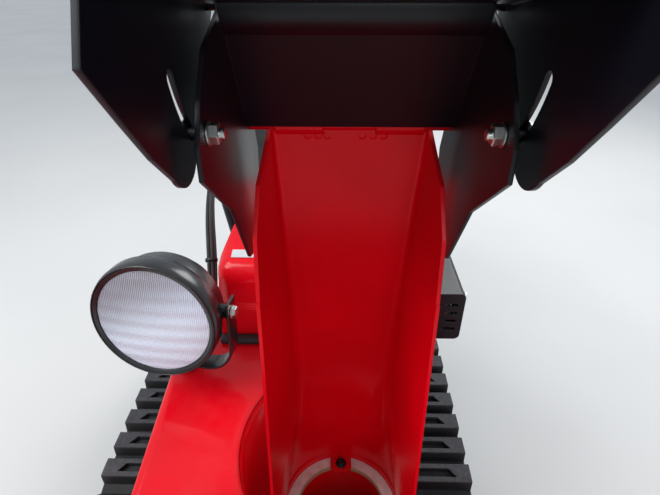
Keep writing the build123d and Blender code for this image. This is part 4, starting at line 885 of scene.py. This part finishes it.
@dataclass(frozen=True)
class Lamp:
    """Round work lamp, aimed as in the photograph: rolled rim, hollow bowl, pressed glass and yoke."""
    centre: tuple[float, float, float] = (-0.1185, -0.2716, 0.7455)
    yaw: float = -6.7
    tilt: float = 6.6             # degrees up
    rim: float = 76.0
    lens: float = 69.0
    reach: float = 0.005          # how far the glass and its bezel are set forward, in m
    bowl: float = 68.0
    cap: float = 48.0
    yoke: float = 78.5            # half the yoke's width and its drop, to the strip's inside
    yoke_top: float = 16.0        # arms' ends above the pivot
    yoke_deep: float = -47.0      # rim's centre back to the strip's rear edge
    corner: float = 30.0          # the yoke's inner radius
    strip: float = 26.0
    sheet: float = 3.0
    foot_z: float = 0.6227        # top of the front cover under the post, in m

    def place(self) -> Matrix:
        """Returns the lamp's own axes: Z out of the lens, X to the machine's left, Y up."""
        yaw, tilt = math.radians(self.yaw), math.radians(self.tilt)
        way = Vector((math.sin(yaw) * math.cos(tilt), -math.cos(yaw) * math.cos(tilt), math.sin(tilt)))
        return frame_of(self.centre, way, Vector((math.cos(yaw), math.sin(yaw), 0)))

    def shell(self, place: Matrix) -> None:
        """Turns the pressed steel shell: rolled rim, straight bowl and a stepped cap.

        Args:
            place: the lamp's own axes.
        """
        rim, bowl, cap = self.rim, self.bowl, self.cap
        fit(turned("lamp_shell", (
            (rim - 3.6, -4), (rim - 3.6, 4.4), (rim - 3.2, 5.2), (rim - 2.5, 5.4), (rim - 1.8, 4.8),
            (rim, -1.6), (rim, -17), (rim - 1.2, -19.5), (rim - 4, -21), (bowl + 1.5, -21.8), (bowl, -23),
            (bowl, -44), (bowl - 1.5, -48), (bowl - 7, -53), (cap + 5, -56), (cap + 1.5, -58), (cap, -61),
            (cap, -73), (cap - 1.5, -76.2), (cap - 5, -78), (14, -78), (12, -79.5), (0.5, -79.5)), place, 72),
            Coats.satin, "lamp_housing")

    def optics(self, place: Matrix) -> None:
        """Turns the bezel, reflector, bulb and glass.

        Args:
            place: the lamp's own axes.
        """
        lens, rim = self.lens, self.rim
        fit(turned("lamp_bezel", ((lens - 1.5, -6), (lens - 1.5, -2.2), (lens, -1.6), (rim - 4.2, -0.6),
                                  (rim - 3.7, -1.4), (rim - 3.7, -6)), place, 72), Coats.satin)
        fit(turned("lamp_reflector", ((lens - 2, -7), (lens - 6, -9), (lens - 12, -18), (45, -30), (32, -40),
                                      (20, -46), (9, -49), (0.5, -50)), place, 64, False), Coats.mirror)
        fit(turned("lamp_bulb", ((6, -49), (6, -36), (9, -32), (9.5, -27), (7, -22), (3, -19.5), (0.5, -19)),
                   place, 24), Coats.mirror, slot="lens_glass")
        fit(turned("lamp_glass", (
            (lens - 2, -6), (lens - 2, -3), (62, -1.4), (50, 0.2), (36, 1.6), (20, 2.6), (8, 2.95), (0.5, 3),
            (0.5, 0.4), (8, 0.35), (20, 0), (36, -1), (50, -2.5), (62, -4.2), (lens - 4, -5.4), (lens - 4, -6)),
            place, 72), Coats.glass, "lamp_lens")

    def carrier(self, place: Matrix) -> None:
        """Bends the yoke round the lamp and sets its post on the front cover.

        Args:
            place: the lamp's own axes.
        """
        half, corner, sheet = self.yoke, self.corner, self.sheet
        inner, outer = (
            [(half + more, self.yoke_top), *arc((half - corner, corner - half), corner + more,
                                                range(0, -91, -15))] for more in (0, sheet))
        inner, outer = (run + [(-x, y) for x, y in reversed(run)] for run in (inner, outer))
        strip = plate("lamp_strip", inner + outer[::-1], self.strip, shifted(place, 0, 0, self.yoke_deep * MM),
                      0.6)
        pivot = shifted(place, 0, 0, (self.yoke_deep + self.strip / 2) * MM)
        seats, spacers = [], []
        for way in SIDES:
            out = place.to_3x3() @ (LEFT * way)
            seats.append((pivot @ (LEFT * way * (half + sheet + 0.2) * MM), out))
            spacers.append(turned("spacer", ((9, self.bowl - 1), (9, half + 0.2)),
                                  frame_of(pivot.translation, out), 24))
        tongue = block("tongue", (-0.014, (-half - sheet) * MM, -0.074), (0.014, -half * MM, -0.030), 1.0)
        tongue.data.transform(place)
        top = place @ Vector((0, (-half - 1) * MM, -0.061))
        rise = (top.z - self.foot_z) / MM
        post = turned("lamp_post", ((14, 0.2), (15, 1), (15, 4), (13.5, 5), (9, 6), (7.5, 9), (7.5, rise)),
                      frame_of((top.x, top.y, self.foot_z), UP), 32)
        fit(settle(joined("lamp_yoke", [strip, tongue, post, *spacers])), Coats.satin, "lamp_bracket")
        fasten("lamp_pivot_bolts", seats, 8)

    def build(self) -> None:
        """Builds the lamp, what holds it and its cable."""
        place = self.place()
        self.shell(place)
        self.optics(shifted(place, 0, 0, self.reach))
        self.carrier(place)
        fit(tube("lamp_cable", (place @ Vector((0, -0.010, -0.0785)), place @ Vector((0, -0.012, -0.098)),
                                (-0.110, -0.158, 0.700), (-0.104, -0.140, 0.672), (-0.101, -0.128, 0.652)),
                 3.2, 2), Coats.rubber)


@dataclass(frozen=True)
class ChuteFittings:
    """What is bolted to the chute and its two deflectors."""
    centre_x: float = 0.1
    plate: float = 0.0755         # half the room between the middle deflector's side plates, in m
    ear: float = 0.0835           # half the room between the tip's ears, in m
    sheet: float = 0.0029         # a side plate or ear and the gap under a bolt's head, in m
    bolt: tuple[float, float] = (-0.440, 1.022)   # Y and Z of the slot bolts
    hinge: tuple[float, float] = (-0.3255, 0.992) # Y and Z of the chute's pivots
    tip: tuple[float, float] = (-0.3770, 1.0770)  # Y and Z of the tip's pivots
    screw: tuple[float, float, float] = (0.1, -0.2685, 0.4742)
    cover: tuple[float, float] = (17.8, 16.0)     # hinge cover's radii in mm
    cover_width: float = 148.4

    def pair(self, half: float, place: tuple[float, float], facing: int = 1) -> Seats:
        """Returns a left and a right seat at half the width, facing out, or in where facing is -1."""
        return [(Vector((self.centre_x + way * half, *place)), LEFT * way * facing) for way in SIDES]

    def build(self) -> None:
        """Builds the slot bolts, the pivots' nuts, the ring's screw and the hinge cover."""
        for name, body, seats in (
                ("slot_bolt_nuts", "deflector_middle", self.pair(self.plate, self.bolt, -1)),
                ("slot_bolt_heads", "deflector_middle", self.pair(self.ear + self.sheet, self.bolt)),
                ("tip_pivot_caps", "deflector_middle", self.pair(self.ear + self.sheet, self.tip)),
                ("chute_pivot_caps", "chute", self.pair(self.plate + self.sheet, self.hinge))):
            nuts = name.endswith("nuts")
            fasten(name, seats, 6.2 if nuts else 7, body, nuts)
        place = frame_of(self.screw, UP)
        washer = turned("ring_washer", ((2, 0), (7.4, 0), (7.8, 0.4), (7.8, 1.2), (7.2, 1.5), (2, 1.5)),
                        place, 32)
        head = turned("ring_screw_head", ((5.2, 1.4), (5.4, 2.6), (4.6, 4.2), (2.6, 4.9), (2.4, 4.0),
                                          (0.3, 4.0)), place, 24)
        fit(joined("ring_screw", (washer, head)), Coats.black, body="chute")
        outside, inside = self.cover
        rim = arc((0, 0), outside, range(140, 241, 10)) + arc((0, 0), inside, range(240, 139, -10))
        start = (self.centre_x - self.cover_width / 2 * MM, *self.tip)
        fit(plate("hinge_cover", rim, self.cover_width, frame_of(start, LEFT, BACK)), Coats.black,
            body="deflector_tip")


@dataclass(frozen=True)
class Covers:
    """Moulded body panels: the scooped front cover, the bonnet and what is fixed to them."""
    scoop: tuple[float, float] = (0.1, -0.33)     # its axis, X and Y
    scoop_radius: float = 0.119   # in m
    scoop_floor: float = 0.452    # its height
    rim: float = 11.0             # round at the scoop's rim
    hood_side: Outline = ((-172, 450.2), (100, 450.2), (100, 749.5), (40, 789.5), (-42, 784), (-167, 746),
                        (-167, 687), (-172, 683))
    hood_brow: float = 0.716      # edges above this get the broad round, in m
    hood_round: float = 22.0      # the broad round
    hood_edge: float = 3.0        # the round of the other sharp edges
    screw_z: float = 0.470        # height of the bonnet's screws
    fins: int = 6
    fin_pitch: float = 0.0112     # in m

    def front(self) -> None:
        """Rounds the front cover's scoop to a wide soft rim."""
        cover = softened("front_cover", "front_cover_skin")
        centre = Vector(self.scoop)

        def on_rim(ends: list[Vector]) -> bool:
            """Tells whether an edge lies on the scoop's rim, right of the chute's ring.

            Args:
                ends: its two ends.

            Returns:
                Whether it does.
            """
            return (all(abs((end.xy - centre).length - self.scoop_radius) < 0.0006
                        and end.z > self.scoop_floor + 0.03 and end.x < 0.128 for end in ends)
                    and abs(ends[0].z - ends[1].z) < 0.02)

        with editing(cover):
            pick(cover, "EDGE", on_rim)
            bpy.ops.mesh.bevel(offset=self.rim * MM, segments=6, affect="EDGES", clamp_overlap=False)
        fit(settle(cover, 50), Coats.abs, "front_cover")

    def hood(self, low: Vector, high: Vector) -> None:
        """Moulds the bonnet's outside as one closed shell with broad rounds and two flats on top.

        Args:
            low: the bonnet's lowest corner in m.
            high: its highest corner in m.
        """
        hood = plate("bonnet_skin", self.hood_side, (high.x - low.x) / MM,
                     frame_of((low.x, 0, 0), LEFT, BACK))
        with editing(hood, "FACE"):
            bpy.ops.mesh.dissolve_limited(angle_limit=math.radians(0.6))
            pick(hood, "EDGE", lambda ends: (ends[0].z + ends[1].z) / 2 > self.hood_brow)
            bpy.ops.mesh.bevel(offset=self.hood_round * MM, segments=6, affect="EDGES")
        modify(hood, "BEVEL", width=self.hood_edge * MM, segments=5, limit_method="ANGLE",
               angle_limit=math.radians(40))
        for x, way in ((low.x, -1), (high.x, 1)):
            with editing(hood, "FACE"):
                bpy.ops.mesh.bisect(plane_co=(x, -0.167, 0.746), plane_no=(way * 0.9345, 0.0730, 0.3493),
                                    use_fill=True, clear_outer=True)
        fit(settle(hood, 19), Coats.abs, "bonnet")

    def build(self) -> None:
        """Builds the panels, the bare plate, seal, grille and screws."""
        self.front()
        low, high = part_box("bonnet")
        self.hood(low, high)
        slope = frame_of((-0.036, -0.140, 0.7545), Vector((0, -38, 125)), LEFT)
        fit(plate("bonnet_bare_plate", ((-18, -7), (18, -7), (18, 7), (-18, 7)), 0.8, slope, 0.2), Coats.foil)
        seats = [(Vector((x, low.y - 0.0001, self.screw_z)), AHEAD) for x in (-0.055, 0.055, 0.165)]
        seats += [(Vector((side, y, self.screw_z)), LEFT * way) for side, way in ((low.x, -1), (high.x, 1))
                  for y in (-0.140, 0.068)]
        fasten("bonnet_screws", seats, 6)
        fit(block("bonnet_seal_strip", (-0.075, -0.1875, 0.6285), (0.155, -0.1725, 0.6385), 3.4, 3),
            Coats.rubber, "bonnet_seal")
        back = block("backing", (low.x - 0.0012, -0.045, 0.600), (low.x + 0.001, 0.075, 0.676), 0.5)
        fins = [block("fin", (low.x - 0.0036, -0.039, 0.6065 + row * self.fin_pitch),
                      (low.x - 0.0008, 0.069, 0.6118 + row * self.fin_pitch), 1.2)
                for row in range(self.fins)]
        fit(joined("bonnet_grille", [back, *fins]), Coats.grained)
        seats = mirrored([(0.1381, -0.200, 0.436), (0.1381, -0.385, 0.436)])
        fasten("front_cover_screws", [seat for seat in seats if seat[0].x < 0 or seat[0].y > -0.25], 6)


@dataclass(frozen=True)
class Auger:
    """Double ribbon auger: smooth wound flights on flat arms, shear bolts through the tube."""
    axis: tuple[float, float] = (-0.600, 0.205)
    start: float = 0.056          # machine's middle to a ribbon's inner end; all sizes here in m
    length: float = 0.320         # a ribbon's, for one full turn
    inner: float = 0.118          # ribbon's inner radius
    outer: float = 0.170          # ribbon's outer radius
    sheet: float = 0.005
    arm_steps: tuple[int, ...] = (1, 6, 11)       # twelfths of a turn that stand on an arm

    def flight(self, way: int, angle: float) -> Piece:
        """Winds one ribbon.

        Args:
            way: 1 for the left half, -1 for the right.
            angle: where it starts, in degrees.

        Returns:
            The ribbon.
        """
        deselect()
        bpy.ops.mesh.primitive_plane_add(size=1, location=(0, (self.inner + self.outer) / 2, 0))
        piece = bpy.context.object
        piece.scale = (self.sheet, self.outer - self.inner, 1)
        bpy.ops.object.transform_apply(location=True, scale=True)
        piece.rotation_euler = (math.radians(angle), 0, 0)
        bpy.ops.object.transform_apply(rotation=True)
        modify(piece, "SCREW", axis="X", angle=way * math.tau, screw_offset=way * self.length, steps=72,
               render_steps=72, use_merge_vertices=True, merge_threshold=MERGE)
        with editing(piece):
            bpy.ops.mesh.remove_doubles(threshold=MERGE)
            bpy.ops.mesh.fill_holes(sides=0)
            bpy.ops.mesh.select_all(action="SELECT")
            bpy.ops.mesh.normals_make_consistent(inside=False)
        piece.location = (way * self.start, *self.axis)
        return settle(piece)

    def arms(self) -> Piece:
        """Sets three flat arms under each ribbon.

        Returns:
            All of them as one piece.
        """
        places = []
        for way in SIDES:
            for start in (0, 180):
                for step in self.arm_steps:
                    centre = Vector((way * (self.start + step * self.length / 12), *self.axis))
                    foot, _ = around(centre, 1, (start + way * step * 30,), LEFT)[0]
                    places.append(frame_of(centre, foot - centre, LEFT))
        model = block("arm", (-0.0035, -0.013, 0.018), (0.0035, 0.013, 0.147), 1.0)
        return copied(model, "auger_arms", places)

    def build(self) -> None:
        """Builds ribbons, arms, tubes and bolts, and dresses them."""
        centre = Vector((0, *self.axis))
        parts = [self.flight(way, angle) for way in SIDES for angle in (0, 180)]
        parts += [self.arms(), turned("auger_shaft", ((13, -401), (14, -400), (14, 400), (13, 401)),
                                      frame_of(centre, LEFT), 32)]
        parts += [turned("auger_tube", ((19, 46), (20, 47), (20, 385), (19, 386)),
                         frame_of(centre, LEFT * way), 32) for way in SIDES]
        fit(settle(joined("auger_ribbons", parts)), Coats.red, "auger", body="auger")
        fasten("auger_shear_bolts", [(centre + LEFT * way * at + UP * side * 0.0198, UP * side)
                                     for way in SIDES for at in (0.062, 0.24) for side in SIDES], 8, "auger")


@dataclass(frozen=True)
class HousingFittings:
    """Bolts, bearing caps, the scraper's bolts and the rolled lip of the auger housing."""
    side: float = 0.3953          # outer face of the side plates
    axis: tuple[float, float] = (-0.600, 0.205)
    drum: tuple[float, float, float] = (0.0, -0.415, 0.235)   # middle of the drum's bolt circle
    drum_bolts: float = 0.172     # radius of their circle, in m
    cap_bolts: float = 0.036      # radius of the bearing caps' circle, in m
    scraper_xs: tuple[float, ...] = (-0.35, -0.21, -0.07, 0.07, 0.21, 0.35)

    def build(self) -> None:
        """Builds everything that is bolted to the housing."""
        caps, seats = [], []
        for way in SIDES:
            out = LEFT * way
            centre = Vector((way * self.side, *self.axis))
            caps.append(turned("cap", ((44, 0), (45, 1), (45, 3.5), (43, 4.5), (30, 5), (27, 7), (25, 12),
                                       (22, 14), (0.5, 14.5)), frame_of(centre, out), 40))
            seats += around(centre + out * 0.0045, self.cap_bolts, (30, 150, 270), out)
        fit(joined("auger_bearing_caps", caps), Coats.iron)
        seats += mirrored([(0.4025, -0.540, 0.072), (0.4025, -0.455, 0.072)])
        seats += around(Vector(self.drum), self.drum_bolts, (-8, 22, 52, 128, 158, 188), AHEAD)
        fasten("housing_bolts", seats, 8)
        carriage = turned("carriage_head", ((10, 0), (9.6, 1.2), (7.5, 3), (4, 4), (0.5, 4.3)), sides=20)
        fit(copied(carriage, "scraper_bolts", [Matrix.Translation((x, -0.6385, 0.0201))
                                               for x in self.scraper_xs]), Coats.zinc)
        fit(tube("housing_lip", [(-0.3948, -0.745, 0.4775), (0.3948, -0.745, 0.4775)], 5.0, 4, True),
            Coats.red)


@dataclass(frozen=True)
class TrackFittings:
    """Axle nuts, hub bolts and belt guides of the two tracks."""
    gauge: float = 0.259          # machine's middle to a track's middle
    axle_z: float = 0.143
    idler_y: float = -0.152
    sprocket_y: float = 0.318
    roller_ys: tuple[float, ...] = (-0.022, 0.083, 0.188)
    roller_z: float = 0.0653
    face: float = 0.3002          # outer face of the track frames
    hub: float = 0.2846           # outer face of the sprockets' hubs
    hub_bolts: float = 0.040      # radius of the hub bolts' circle, in m
    belt: float = 0.110           # radius of the belt's inside at its ends, in m
    teeth: int = 30
    tooth_side: float = 0.044     # belt's middle to a tooth

    def guides(self) -> None:
        """Stands guide teeth on the inside of both belts, in pairs beside the wheels."""
        model = block("tooth", (-0.005, -0.011, -0.001), (0.005, 0.011, 0.011), 2.5)
        with editing(model):
            pick(model, "FACE", lambda ends: sum(end.z for end in ends) / len(ends) > 0.010)
            bpy.ops.transform.resize(value=(0.6, 0.55, 1.0))
        run = self.sprocket_y - self.idler_y
        half_loop = run + math.pi * self.belt
        places = []
        for way in SIDES:
            for tooth in range(self.teeth):
                back, along = divmod((tooth + 0.5) * 2 * half_loop / self.teeth, half_loop)
                step = min(along, run)
                angle = math.pi * back + max(0.0, along - run) / self.belt
                inward = Vector((0, -math.sin(angle), math.cos(angle)))
                y = self.sprocket_y - step if back else self.idler_y + step
                for side in SIDES:
                    foot = Vector((way * self.gauge + side * self.tooth_side, y, self.axle_z))
                    places.append(frame_of(foot - inward * self.belt, inward, LEFT))
        fit(copied(model, "track_guide_teeth", places), Coats.track, body="tracks")

    def build(self) -> None:
        """Builds the axle nuts on the frames' outer faces, the hubs' bolts and the guide teeth."""
        rollers = mirrored([(self.face, y, self.roller_z) for y in self.roller_ys])
        fasten("roller_axle_nuts", rollers, 16, "tracks", True)
        fasten("idler_axle_nuts", mirrored([(self.face, self.idler_y, self.axle_z)]), 22, "tracks", True)
        hubs = mirrored([(self.hub, self.sprocket_y, self.axle_z)])
        fasten("sprocket_hub_bolts", [seat for centre, out in hubs
                                      for seat in around(centre, self.hub_bolts, range(18, 360, 72), out)],
               10, "tracks")
        self.guides()


@dataclass(frozen=True)
class Cables:
    """Control cables in one loose bundle, held by ties."""
    route: tuple[tuple[float, float, float], ...] = (
        (-0.095, -0.2480, 0.592), (-0.095, -0.190, 0.592), (-0.097, -0.134, 0.640), (-0.102, -0.084, 0.706),
        (-0.116, -0.010, 0.756), (-0.130, 0.090, 0.784), (-0.140, 0.200, 0.808), (-0.144, 0.310, 0.848),
        (-0.143, 0.4185, 0.852))
    core: float = 2.9             # a cable's radius
    count: int = 5
    bundle: float = 4.6           # a cable's mean distance from the route
    loose: float = 1.8            # how far that varies
    twist: float = 0.35           # turn from one point to the next, in radians
    tied: tuple[int, ...] = (2, 3, 5, 7)      # points of the route that carry a tie

    def build(self) -> None:
        """Builds the cables and their ties."""
        parts = []
        for core in range(self.count):
            points = []
            for step, place in enumerate(self.route):
                spread = (self.bundle + self.loose * math.sin(step * 1.7 + core * 2.3)) * MM
                angle = math.tau * core / self.count + self.twist * step
                points.append(Vector(place) + Vector((math.cos(angle), 0, math.sin(angle))) * spread)
            parts.append(tube("cable", points, self.core, 2))
        fit(joined("cable_bundle", parts), Coats.rubber, "control_cables")
        ties = []
        for at in self.tied:
            before, here, after = (Vector(place) for place in self.route[at - 1:at + 2])
            place = frame_of((before + 6 * here + after) / 8, after - before)
            ties.append(turned("tie", ((8.6, -2.2), (9.6, -2), (9.6, 2), (8.6, 2.2), (8.2, 2.2), (8.2, -2.2)),
                               place, 24, False))
        fit(joined("cable_ties", ties), Coats.grained)


@dataclass(frozen=True)
class Controls:
    """Grips, lever boots and knobs, and the console's switch and dial."""
    grip: tuple[float, float, float] = (0.255, 0.675, 0.925)      # left grip's front end
    ribs: int = 14
    rib_pitch: float = 7.6
    lever_y: float = 0.530        # where the levers leave the console
    lever_xs: tuple[float, ...] = (-0.140, -0.070, 0.020, 0.080, 0.140)
    brow: tuple[float, float] = (0.460, 0.925)    # Y and Z of the console face's front edge
    heel: tuple[float, float] = (0.610, 0.862)    # Y and Z of the console face's rear edge
    dial: tuple[float, float] = (-0.030, 0.585)   # X and Y
    key: tuple[float, float] = (0.170, 0.585)     # X and Y

    def face(self, x: float, y: float) -> Matrix:
        """Makes axes on the console's sloping face, with Z standing out of it.

        Args:
            x: where they are across the machine, in m.
            y: where they are along it, in m.

        Returns:
            The placing matrix.
        """
        run, drop = self.heel[0] - self.brow[0], self.heel[1] - self.brow[1]
        z = self.brow[1] + (y - self.brow[0]) / run * drop
        return frame_of((x, y, z), Vector((0, -drop, run)), LEFT)

    def grips(self) -> None:
        """Turns the two ribbed rubber grips."""
        rings = [(14.2, 0), (17.5, 0), (18, 1.2)]
        for rib in range(self.ribs):
            at = 8 + rib * self.rib_pitch
            rings += [(18, at), (16.9, at + 1.2), (16.9, at + 2.8), (18, at + 4.0)]
        rings += [(18, 119), (18, 123), (16.5, 124.8), (0.5, 125)]
        pair = [turned("grip", rings, frame_of(place, BACK), 32, False) for place, _ in mirrored([self.grip])]
        fit(joined("ribbed_grips", pair), Coats.rubber, "grips")

    def levers(self) -> None:
        """Builds the levers with folded boots, stems, pear knobs and gates."""
        boots, stems, knobs, gates = [], [], [], []
        outline = [(x + math.copysign(9, x), y + math.copysign(24, y))
                   for x, y in arc((0, 0), 6, range(5, 360, 15))]
        for x in self.lever_xs:
            place = self.face(x, self.lever_y)
            boots.append(turned("boot", ((13, 0.3), (13.5, 2), (11, 4), (12, 6), (9.5, 8), (10.5, 10), (8, 12),
                                         (8.5, 14), (5.5, 16), (4.5, 19)), place, 28))
            stems.append(turned("stem", ((4, 15), (4, 60)), place, 16))
            knobs.append(turned("knob", ((5, 56), (7, 58), (8, 64), (9.4, 74), (10, 82), (9, 88), (6, 91.2),
                                         (0.5, 92)), place, 28))
            gates.append(plate("gate", outline, 1.6, shifted(place, 0, 0, 0.0002), 0.5))
        fit(joined("lever_boots", boots + knobs), Coats.rubber, "control_levers", slot="black_plastic")
        fit(joined("lever_stems", stems), Coats.zinc)
        fit(joined("lever_gates", gates), Coats.black, slot="steel")

    def panel(self) -> None:
        """Sets the bare dial and the key switch in the console's face."""
        dial, key = self.face(*self.dial), self.face(*self.key)
        fit(turned("dial_bezel", ((19, 0.2), (21, 0.2), (22, 1), (22, 4), (20.5, 5), (19, 4.0)), dial, 40),
            Coats.satin, slot="black_plastic")
        fit(turned("dial_disc", ((19.2, 0.3), (19.2, 3.2), (0.5, 3.4)), dial, 40), Coats.foil)
        fit(turned("key_switch", ((11, 0.2), (12, 1), (12, 5), (10.5, 6.5), (7, 6.8), (0.5, 6.8)), key, 32),
            Coats.zinc)
        upright = shifted(key, 0, 0.0012, 0.0069) @ Matrix.Rotation(math.pi / 2, 4, "X")
        fit(plate("key", ((-8, 0), (8, 0), (9, 4), (8, 14), (4, 17), (-4, 17), (-8, 14), (-9, 4)), 2.4,
                  upright, 0.6), Coats.grained)

    def build(self) -> None:
        """Builds every control."""
        self.grips()
        self.levers()
        self.panel()


@dataclass(frozen=True)
class EngineFittings:
    """Starter handle and screws, tank cap, guard screws, skirt screws and the gearbox's bolts."""
    crank: tuple[float, float, float] = (-0.025, 0.1343, 0.408)   # middle of the starter's outer face
    cap: tuple[float, float, float] = (0.090, 0.181, 0.700)       # foot of the filler cap
    cap_ribs: int = 20
    tank: tuple[float, float, float, float] = (-100, 150, 112.5, 249.5)   # sides, front and rear in mm
    seam_z: float = 0.640         # foot of the tank's seam
    starter_screws: float = 0.0735                # radius of their circle, in m
    axle_bolts: float = 0.0375                    # radius of the gearbox bolts' circle, in m
    guard: float = 0.2902         # outer face of the muffler guard
    axle: tuple[float, float, float] = (0.1002, 0.318, 0.143)     # gearbox's left face, on the axle
    lid: tuple[float, float, float] = (0, 0.3613, 0.2175)         # middle of the gearbox's rear face
    lid_out: tuple[float, float, float] = (0, 0.9992, 0.0393)     # which way it faces

    def starter(self) -> None:
        """Builds the recoil starter's hub, its screws, rope and pull handle."""
        centre = Vector(self.crank)
        fit(turned("starter_hub", ((30, 0), (30, 2), (28.5, 3.2), (24, 3.4), (22, 1.6), (0.5, 1.6)),
                   frame_of(centre, BACK)), Coats.grained)
        fasten("starter_screws", around(centre, self.starter_screws, range(45, 360, 90), BACK), 6)
        x, z = centre.x + 0.0975, centre.z + 0.030
        grip = block("handle_grip", (x - 0.009, 0.108, z - 0.034), (x + 0.009, 0.128, z + 0.034), 5.5, 3)
        neck = tube("handle_neck", ((x - 0.022, 0.118, z), (x, 0.118, z)), 4.6, 3, True)
        fit(joined("starter_handle", (grip, neck)), Coats.rubber, slot="black_plastic")

    def filler(self) -> None:
        """Builds the ribbed filler cap and the tank's welded seam."""
        place = Matrix.Translation(self.cap)
        lid = turned("lid", ((32.4, 0.5), (33.6, 1.5), (33.6, 15), (32.4, 18.4), (27, 19.6), (25, 18.8),
                             (0.5, 18.8)), place, closed=False)
        rib = block("rib", (-0.0014, 0.0325, 0.002), (0.0014, 0.0352, 0.0155), 0.6, 1)
        ribs = copied(rib, "ribs", [place @ Matrix.Rotation(math.tau * step / self.cap_ribs, 4, "Z")
                                    for step in range(self.cap_ribs)])
        fit(joined("filler_cap", (lid, ribs)), Coats.grained)
        left, right, front, rear = self.tank
        inset, reach = 16, 20     # corner's centre in from the tank, and the seam's radius about it
        outline = []
        for x, y, start in ((right - inset, front + inset, 270), (right - inset, rear - inset, 0),
                            (left + inset, rear - inset, 90), (left + inset, front + inset, 180)):
            outline += arc((x, y), reach, range(start, start + 91, 15))
        fit(plate("tank_seam", [(x, min(y, rear - 0.2)) for x, y in outline], 3.0,
                  Matrix.Translation((0, 0, self.seam_z)), 0.8), Coats.grained)

    def gearbox_cover(self) -> None:
        """Bolts a ribbed cover to the gearbox's rear face."""
        out = Vector(self.lid_out)
        place = frame_of(self.lid, out, LEFT)
        parts = [block("cover", (-0.078, -0.060, 0.0002), (0.078, 0.060, 0.006), 2.2, 3)]
        parts += [block("rib", (-0.060, rise - 0.0025, 0.004), (0.060, rise + 0.0025, 0.0115), 2.0)
                  for rise in (-0.030, -0.010, 0.010, 0.030)]
        whole = joined("gearbox_cover", parts)
        whole.data.transform(place)
        fit(settle(whole), Coats.aluminium)
        fasten("gearbox_cover_bolts", [(place @ Vector((x, y, 0.0058)), out) for x in (-0.068, 0, 0.068)
                                       for y in (-0.050, 0, 0.050) if x or y], 6)

    def build(self) -> None:
        """Builds everything round the engine."""
        self.starter()
        self.filler()
        fasten("guard_screws", [(Vector((self.guard, y, z)), LEFT) for y in (-0.100, 0.075)
                                for z in (0.5875, 0.6555)], 5)
        low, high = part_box("engine_skirt")
        fasten("skirt_screws", [(Vector((side + way * 0.0002, y, z)), LEFT * way)
                                for side, way in ((low.x, -1), (high.x, 1))
                                for y in (-0.150, 0.078) for z in (0.320, 0.434)], 6)
        fasten("gearbox_bolts", [seat for centre, out in mirrored([self.axle])
                                 for seat in around(centre, self.axle_bolts, range(30, 360, 60), out)], 6)
        self.gearbox_cover()


@dataclass(frozen=True)
class RearFittings:
    """The column's side panels, the console's skin, and the handlebars' clamps and saddles."""
    column: float = 0.105         # half the column's width
    panel: Outline = ((262, 330), (322, 330), (378, 566), (520, 782), (438, 800), (262, 688))
    sheet: float = 1.8
    panel_screws: Outline = ((0.274, 0.345), (0.313, 0.345), (0.366, 0.560), (0.500, 0.772), (0.444, 0.785),
                           (0.274, 0.680), (0.274, 0.510))     # Y and Z in m
    clamp: tuple[float, float, float] = (0.2421, 0.5443, 0.770)   # middle of the left clamp
    lean: tuple[float, float, float] = (27, 142, 325)     # the left handlebar's way up
    bar_foot: tuple[float, float] = (0.1503, 0.2817)      # X and Z of the left bar's foot
    saddle_ys: tuple[float, ...] = (0.225, 0.300, 0.375)

    def column_panels(self) -> None:
        """Screws a thin panel to each side of the column."""
        panels = []
        for way in SIDES:
            face = self.column if way > 0 else -self.column - self.sheet * MM
            panels.append(plate("panel", self.panel, self.sheet,
                                frame_of((face + way * 0.0002, 0, 0), LEFT, BACK), 0.6))
        fit(joined("column_panels", panels), Coats.satin)
        fasten("column_screws", mirrored([(self.column + 0.0019, *at) for at in self.panel_screws]), 5)

    def bars(self) -> None:
        """Clamps the crossbar to the handlebars and saddles the bars' feet to the frame."""
        sleeves, seats = [], []
        lean = Vector(self.lean).normalized()
        for way in SIDES:
            along = Vector((way * lean.x, lean.y, lean.z))
            centre = Vector((way * self.clamp[0], *self.clamp[1:]))
            sleeves.append(turned("clamp", ((14.1, -20), (17, -20), (18, -19), (18, 19), (17, 20), (14.1, 20)),
                                  frame_of(centre, along), 32))
            out = LEFT * way
            out = (out - along * out.dot(along)).normalized()
            seats += [(centre + out * 0.0179 + along * rise, out) for rise in (-0.010, 0.010)]
            for y in self.saddle_ys:
                foot = Vector((way * self.bar_foot[0], y, self.bar_foot[1]))
                sleeves.append(turned("saddle", ((14.1, -9), (16.4, -9), (17, -8.4), (17, 8.4), (16.4, 9),
                                                 (14.1, 9)), frame_of(foot, BACK), 32))
                seats.append((foot + LEFT * way * 0.0169, LEFT * way))
        fit(joined("bar_clamps", sleeves), Coats.satin)
        fasten("bar_bolts", seats, 8)

    def build(self) -> None:
        """Builds what is fixed to the rear of the machine."""
        self.column_panels()
        self.bars()
        fit(softened("console", "console_skin", 1.8), Coats.grained, "console")


def main() -> None:
    """Dresses the CAD nodes and builds every piece, in order."""
    logging.basicConfig(level=logging.INFO, format="%(message)s")
    for name, node in frame["nodes"].items():
        paint(node, NODE_COATS[name])
    for group in (Studio, Lamp, ChuteFittings, Covers, Auger, HousingFittings, TrackFittings, Cables,
                  Controls, EngineFittings, RearFittings):
        group().build()
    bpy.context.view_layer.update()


if __name__ == "__main__":
    main()
